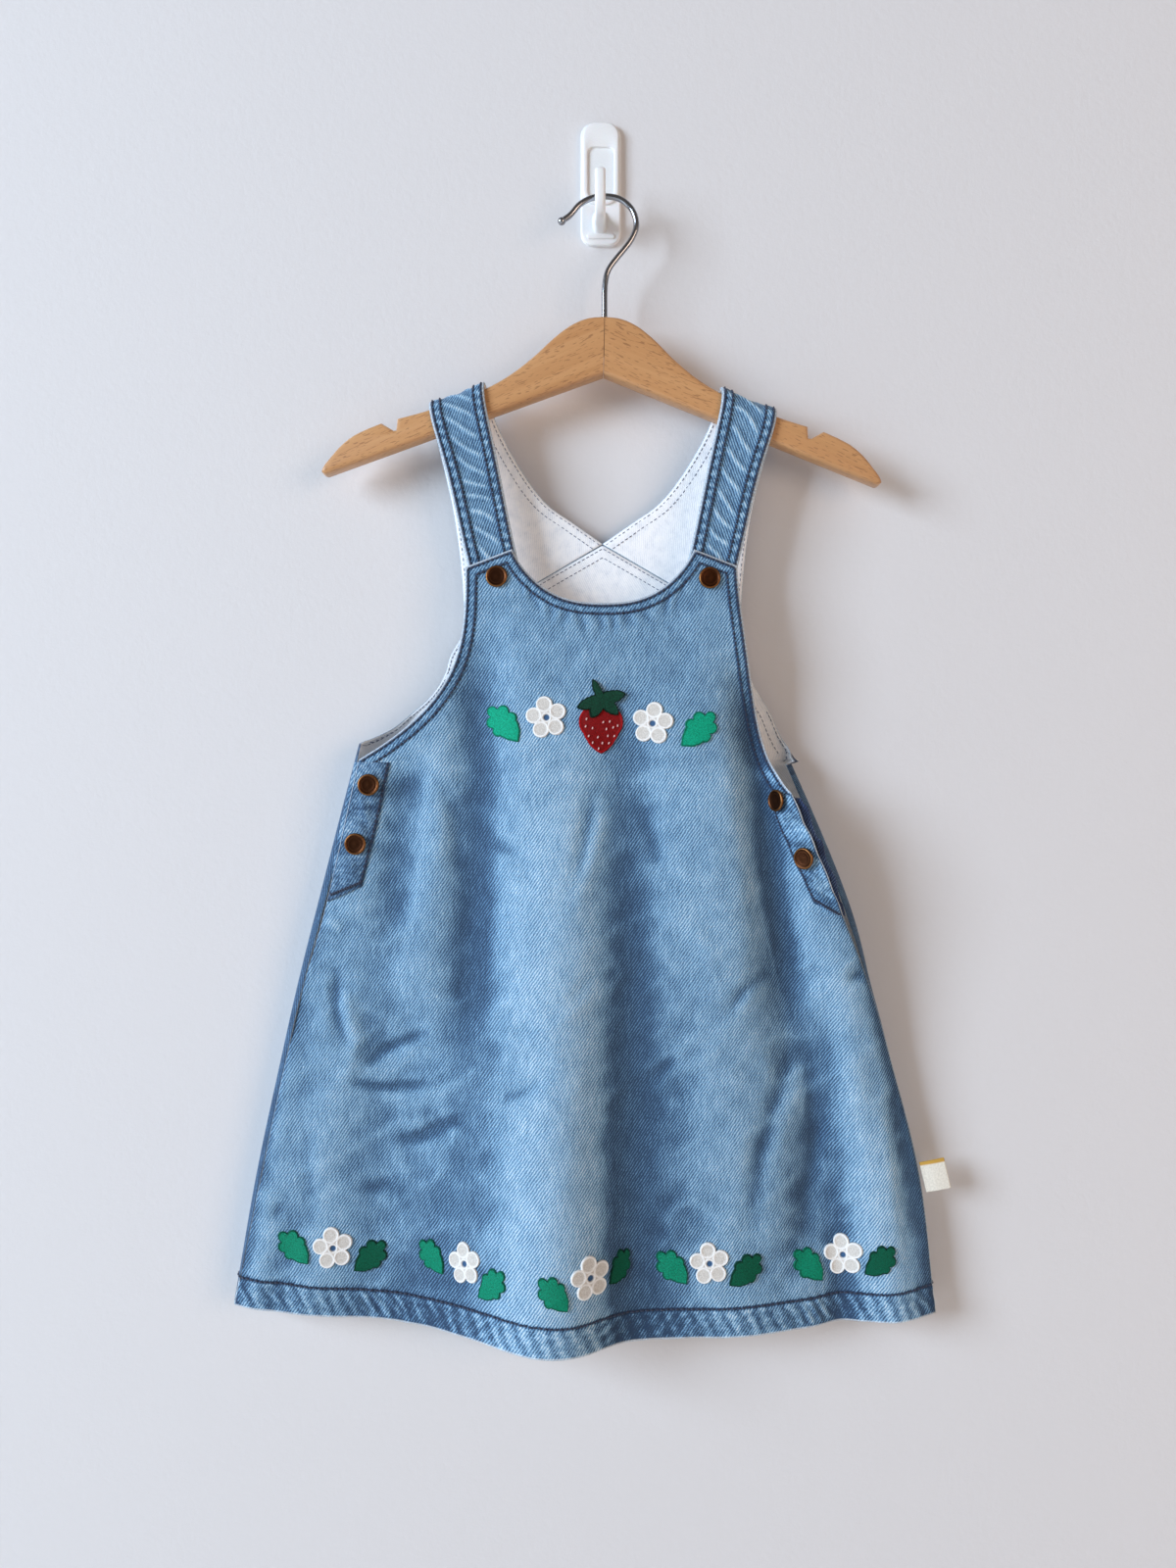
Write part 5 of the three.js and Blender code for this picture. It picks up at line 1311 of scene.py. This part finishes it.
# Name, x from the seam or the middle, z, how far it stands off the front, and whose seam it is by.
SNAPS = [
    ("snap_bib_left", -61, -245.2, 0.35, None), ("snap_bib_right", 63, -246, 0.35, None),
    ("snap_slit_left_top", 9.2, -366.5, 1.9, 0), ("snap_slit_left_low", 9.2, -401, 1.9, 0),
    ("snap_slit_right_top", -7.8, -375.5, 2.6, 3), ("snap_slit_right_low", -7.8, -408.5, 2.6, 3),
]
for name, x, z, lift, seam in SNAPS:
    if seam is not None:
        near = front_place(np.array(-150.0 if seam == 0 else 120.0), np.array(float(z)))
        x += float(front_edges(near[1])[seam])
    base, out = on_front(x, z, lift)
    if seam == 3:
        # The right slit's edge stands up, and its snaps look to the left.
        out = (out + (-0.42, 0, 0)) / np.linalg.norm(out + (-0.42, 0, 0))
    beside = np.cross(out, (0, 0, 1))
    beside /= np.linalg.norm(beside)
    above = np.cross(beside, out)
    circle = np.cos(CAP_TURNS)[:, None] * beside + np.sin(CAP_TURNS)[:, None] * above
    points, faces = loft([base + radius * circle + height * out for radius, height, _ in CAP])
    cap = add_mesh(f"{name}_cap", points, faces, [antique_copper],
                   rub=np.repeat([shine for _, _, shine in CAP], len(CAP_TURNS)))
    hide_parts(name)


# ---- Side seam tape ----
# A blank loop of woven cotton tape, folded double and caught in the right side seam.
cotton_tape = new_material("woven_cotton_tape")
tape_place = attribute(cotton_tape, "cloth", "Vector")
# Ribs are 0.4 mm apart; they are drawn 0.8 mm apart so that they show.
tape_tone = maths(cotton_tape, "MULTIPLY_ADD", wave(cotton_tape, tape_place, 0.8, 0.8), 0.2,
                  noise(cotton_tape, tape_place, 0.9, 3.0))
tape_colour = ramp(cotton_tape, tape_tone, (0.35, "#d3cfc2"), (0.75, "#ebe7da"))
tape_colour = blend(cotton_tape, attribute(cotton_tape, "selvedge"), tape_colour, linear("#c59b45"))
surface(cotton_tape, tape_colour, 0.85, tape_tone, 0.5, 0.0003, COTTON)

# Where it leaves the seam, how it runs out and how it runs down, as x and z.
TAPE_FROM, TAPE_ALONG, TAPE_DOWN = np.array([190.4, -592.3]), np.array([14.6, 2.9]), np.array([4.2, -17.6])
TAPE_Y, TAPE_THICK = -16.7, 0.42
fold = np.linspace(0, math.pi, 11)
reach = np.concatenate([np.linspace(0, 0.95, 20), 0.95 + 0.05 * np.sin(fold[1:-1]), np.linspace(0.95, 0, 20)])
depth = np.concatenate([np.full(20, -0.72), -0.72 * np.cos(fold[1:-1]), np.full(20, 0.72)])
depth = depth * (0.55 + 0.45 * ease(reach, 0, 0.5)) - 0.5 * np.sin(reach * 2.6)
down = np.linspace(0, 1, 25)
spread = TAPE_FROM + reach[None, :, None] * TAPE_ALONG + down[:, None, None] * TAPE_DOWN
bowed = 0.25 * np.sin(down * math.pi)[:, None] * reach[None]
tape_outer = np.stack([spread[..., 0], TAPE_Y + depth[None] - bowed, spread[..., 1]], -1)[::-1]
# Its upper selvedge is woven in gold.
stripe = ((down[::-1] < 0.1) * 1.0)[:, None]
tape = add_cloth("blank_seam_tape", tape_outer, tape_outer - grid_normals(tape_outer) * TAPE_THICK,
                 [cotton_tape], cloth_run(tape_outer), crease=60, selvedge=stripe)
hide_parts("side_seam_tape")


# ---- Room ----
# The wall behind is matt painted plaster. It shows only from the front, so that the views from
# behind see the dress. A plain pale floor lies well below, out of the picture.
wall_paint = new_material("matt_wall_paint")
wall_coordinates = node(wall_paint, "TexCoord").outputs["Object"]
paint_bump = node(wall_paint, "Bump", {
    "Height": noise(wall_paint, wall_coordinates, 260.0, 3.0, 0.55), "Strength": 0.3, "Distance": 0.0006})
paint = node(wall_paint, "BsdfPrincipled", {
    "Base Color": linear("#d6d4d4"), "Roughness": 0.8, "IOR": 1.5, "Normal": paint_bump})
see_through = node(wall_paint, "BsdfTransparent")
from_behind = maths(
    wall_paint, "MAXIMUM", node(wall_paint, "NewGeometry").outputs["Backfacing"],
    node(wall_paint, "LightPath").outputs["Is Shadow Ray"])
one_sided = node(wall_paint, "MixShader", {0: from_behind, 1: paint, 2: see_through})
node(wall_paint, "OutputMaterial", {"Surface": one_sided})

floor_paint = new_material("pale_floor")
floor_colour = ramp(floor_paint, noise(floor_paint, None, 3.0, 4.0), (0.3, "#d2d0cc"), (0.7, "#dcdad6"))
floor_surface = node(floor_paint, "BsdfPrincipled", {"Base Color": floor_colour, "Roughness": 0.7})
node(floor_paint, "OutputMaterial", {"Surface": floor_surface})

FLOOR_Z, CEILING_Z, WALL_Y, ROOM = -1.35, 1.6, 0.0002, 3.0
STAND_INS = [
    ("wall", wall_paint, [(-ROOM, WALL_Y, FLOOR_Z), (ROOM, WALL_Y, FLOOR_Z), (ROOM, WALL_Y, CEILING_Z),
                          (-ROOM, WALL_Y, CEILING_Z)]),
    ("floor", floor_paint, [(-ROOM, -ROOM, FLOOR_Z), (ROOM, -ROOM, FLOOR_Z), (ROOM, ROOM, FLOOR_Z),
                            (-ROOM, ROOM, FLOOR_Z)]),
]
for name, material, corners in STAND_INS:
    mesh = bpy.data.meshes.new(name)
    mesh.from_pydata(corners, [], [(0, 1, 2, 3)])
    mesh.materials.append(material)
    stand_in = bpy.data.objects.new(name, mesh)
    bpy.context.collection.objects.link(stand_in)

# A tall window to the left lights the folds from the side; a lamp to the right warms the rest.
LIGHTS = [
    ("window", (-3.2, -2.2, 0.55), (0.1, 0, -0.42), 1.8, 213.0, "#d4e5f7"),
    ("lamp", (1.9, -2.2, -0.1), (0.5, 0, -0.4), 1.4, 25.0, "#ffe0c8"),
    ("behind_left", (-1.0, 1.3, 0.3), (0, 0, -0.4), 1.0, 14.0, "#eef3ff"),
    ("behind_right", (1.3, 1.2, 0.0), (0, 0, -0.4), 1.2, 7.0, "#fff0e2"),
]
for name, place, target, size, power, colour in LIGHTS:
    light = bpy.data.objects.new(name, bpy.data.lights.new(name, "AREA"))
    light.data.energy, light.data.size, light.data.color = power, size, linear(colour)[:3]
    light.location = place
    aim = np.array(target) - np.array(place)
    light.rotation_euler = (
        math.atan2(math.hypot(aim[0], aim[1]), -aim[2]), 0, math.atan2(-aim[0], aim[1]))
    bpy.context.collection.objects.link(light)
world = bpy.data.worlds.new("room_light")
world.use_nodes = True
world.node_tree.nodes["Background"].inputs["Color"].default_value = linear("#f0e6df")
world.node_tree.nodes["Background"].inputs["Strength"].default_value = 0.19
bpy.context.scene.world = world
bpy.context.scene.view_settings.view_transform = "Standard"
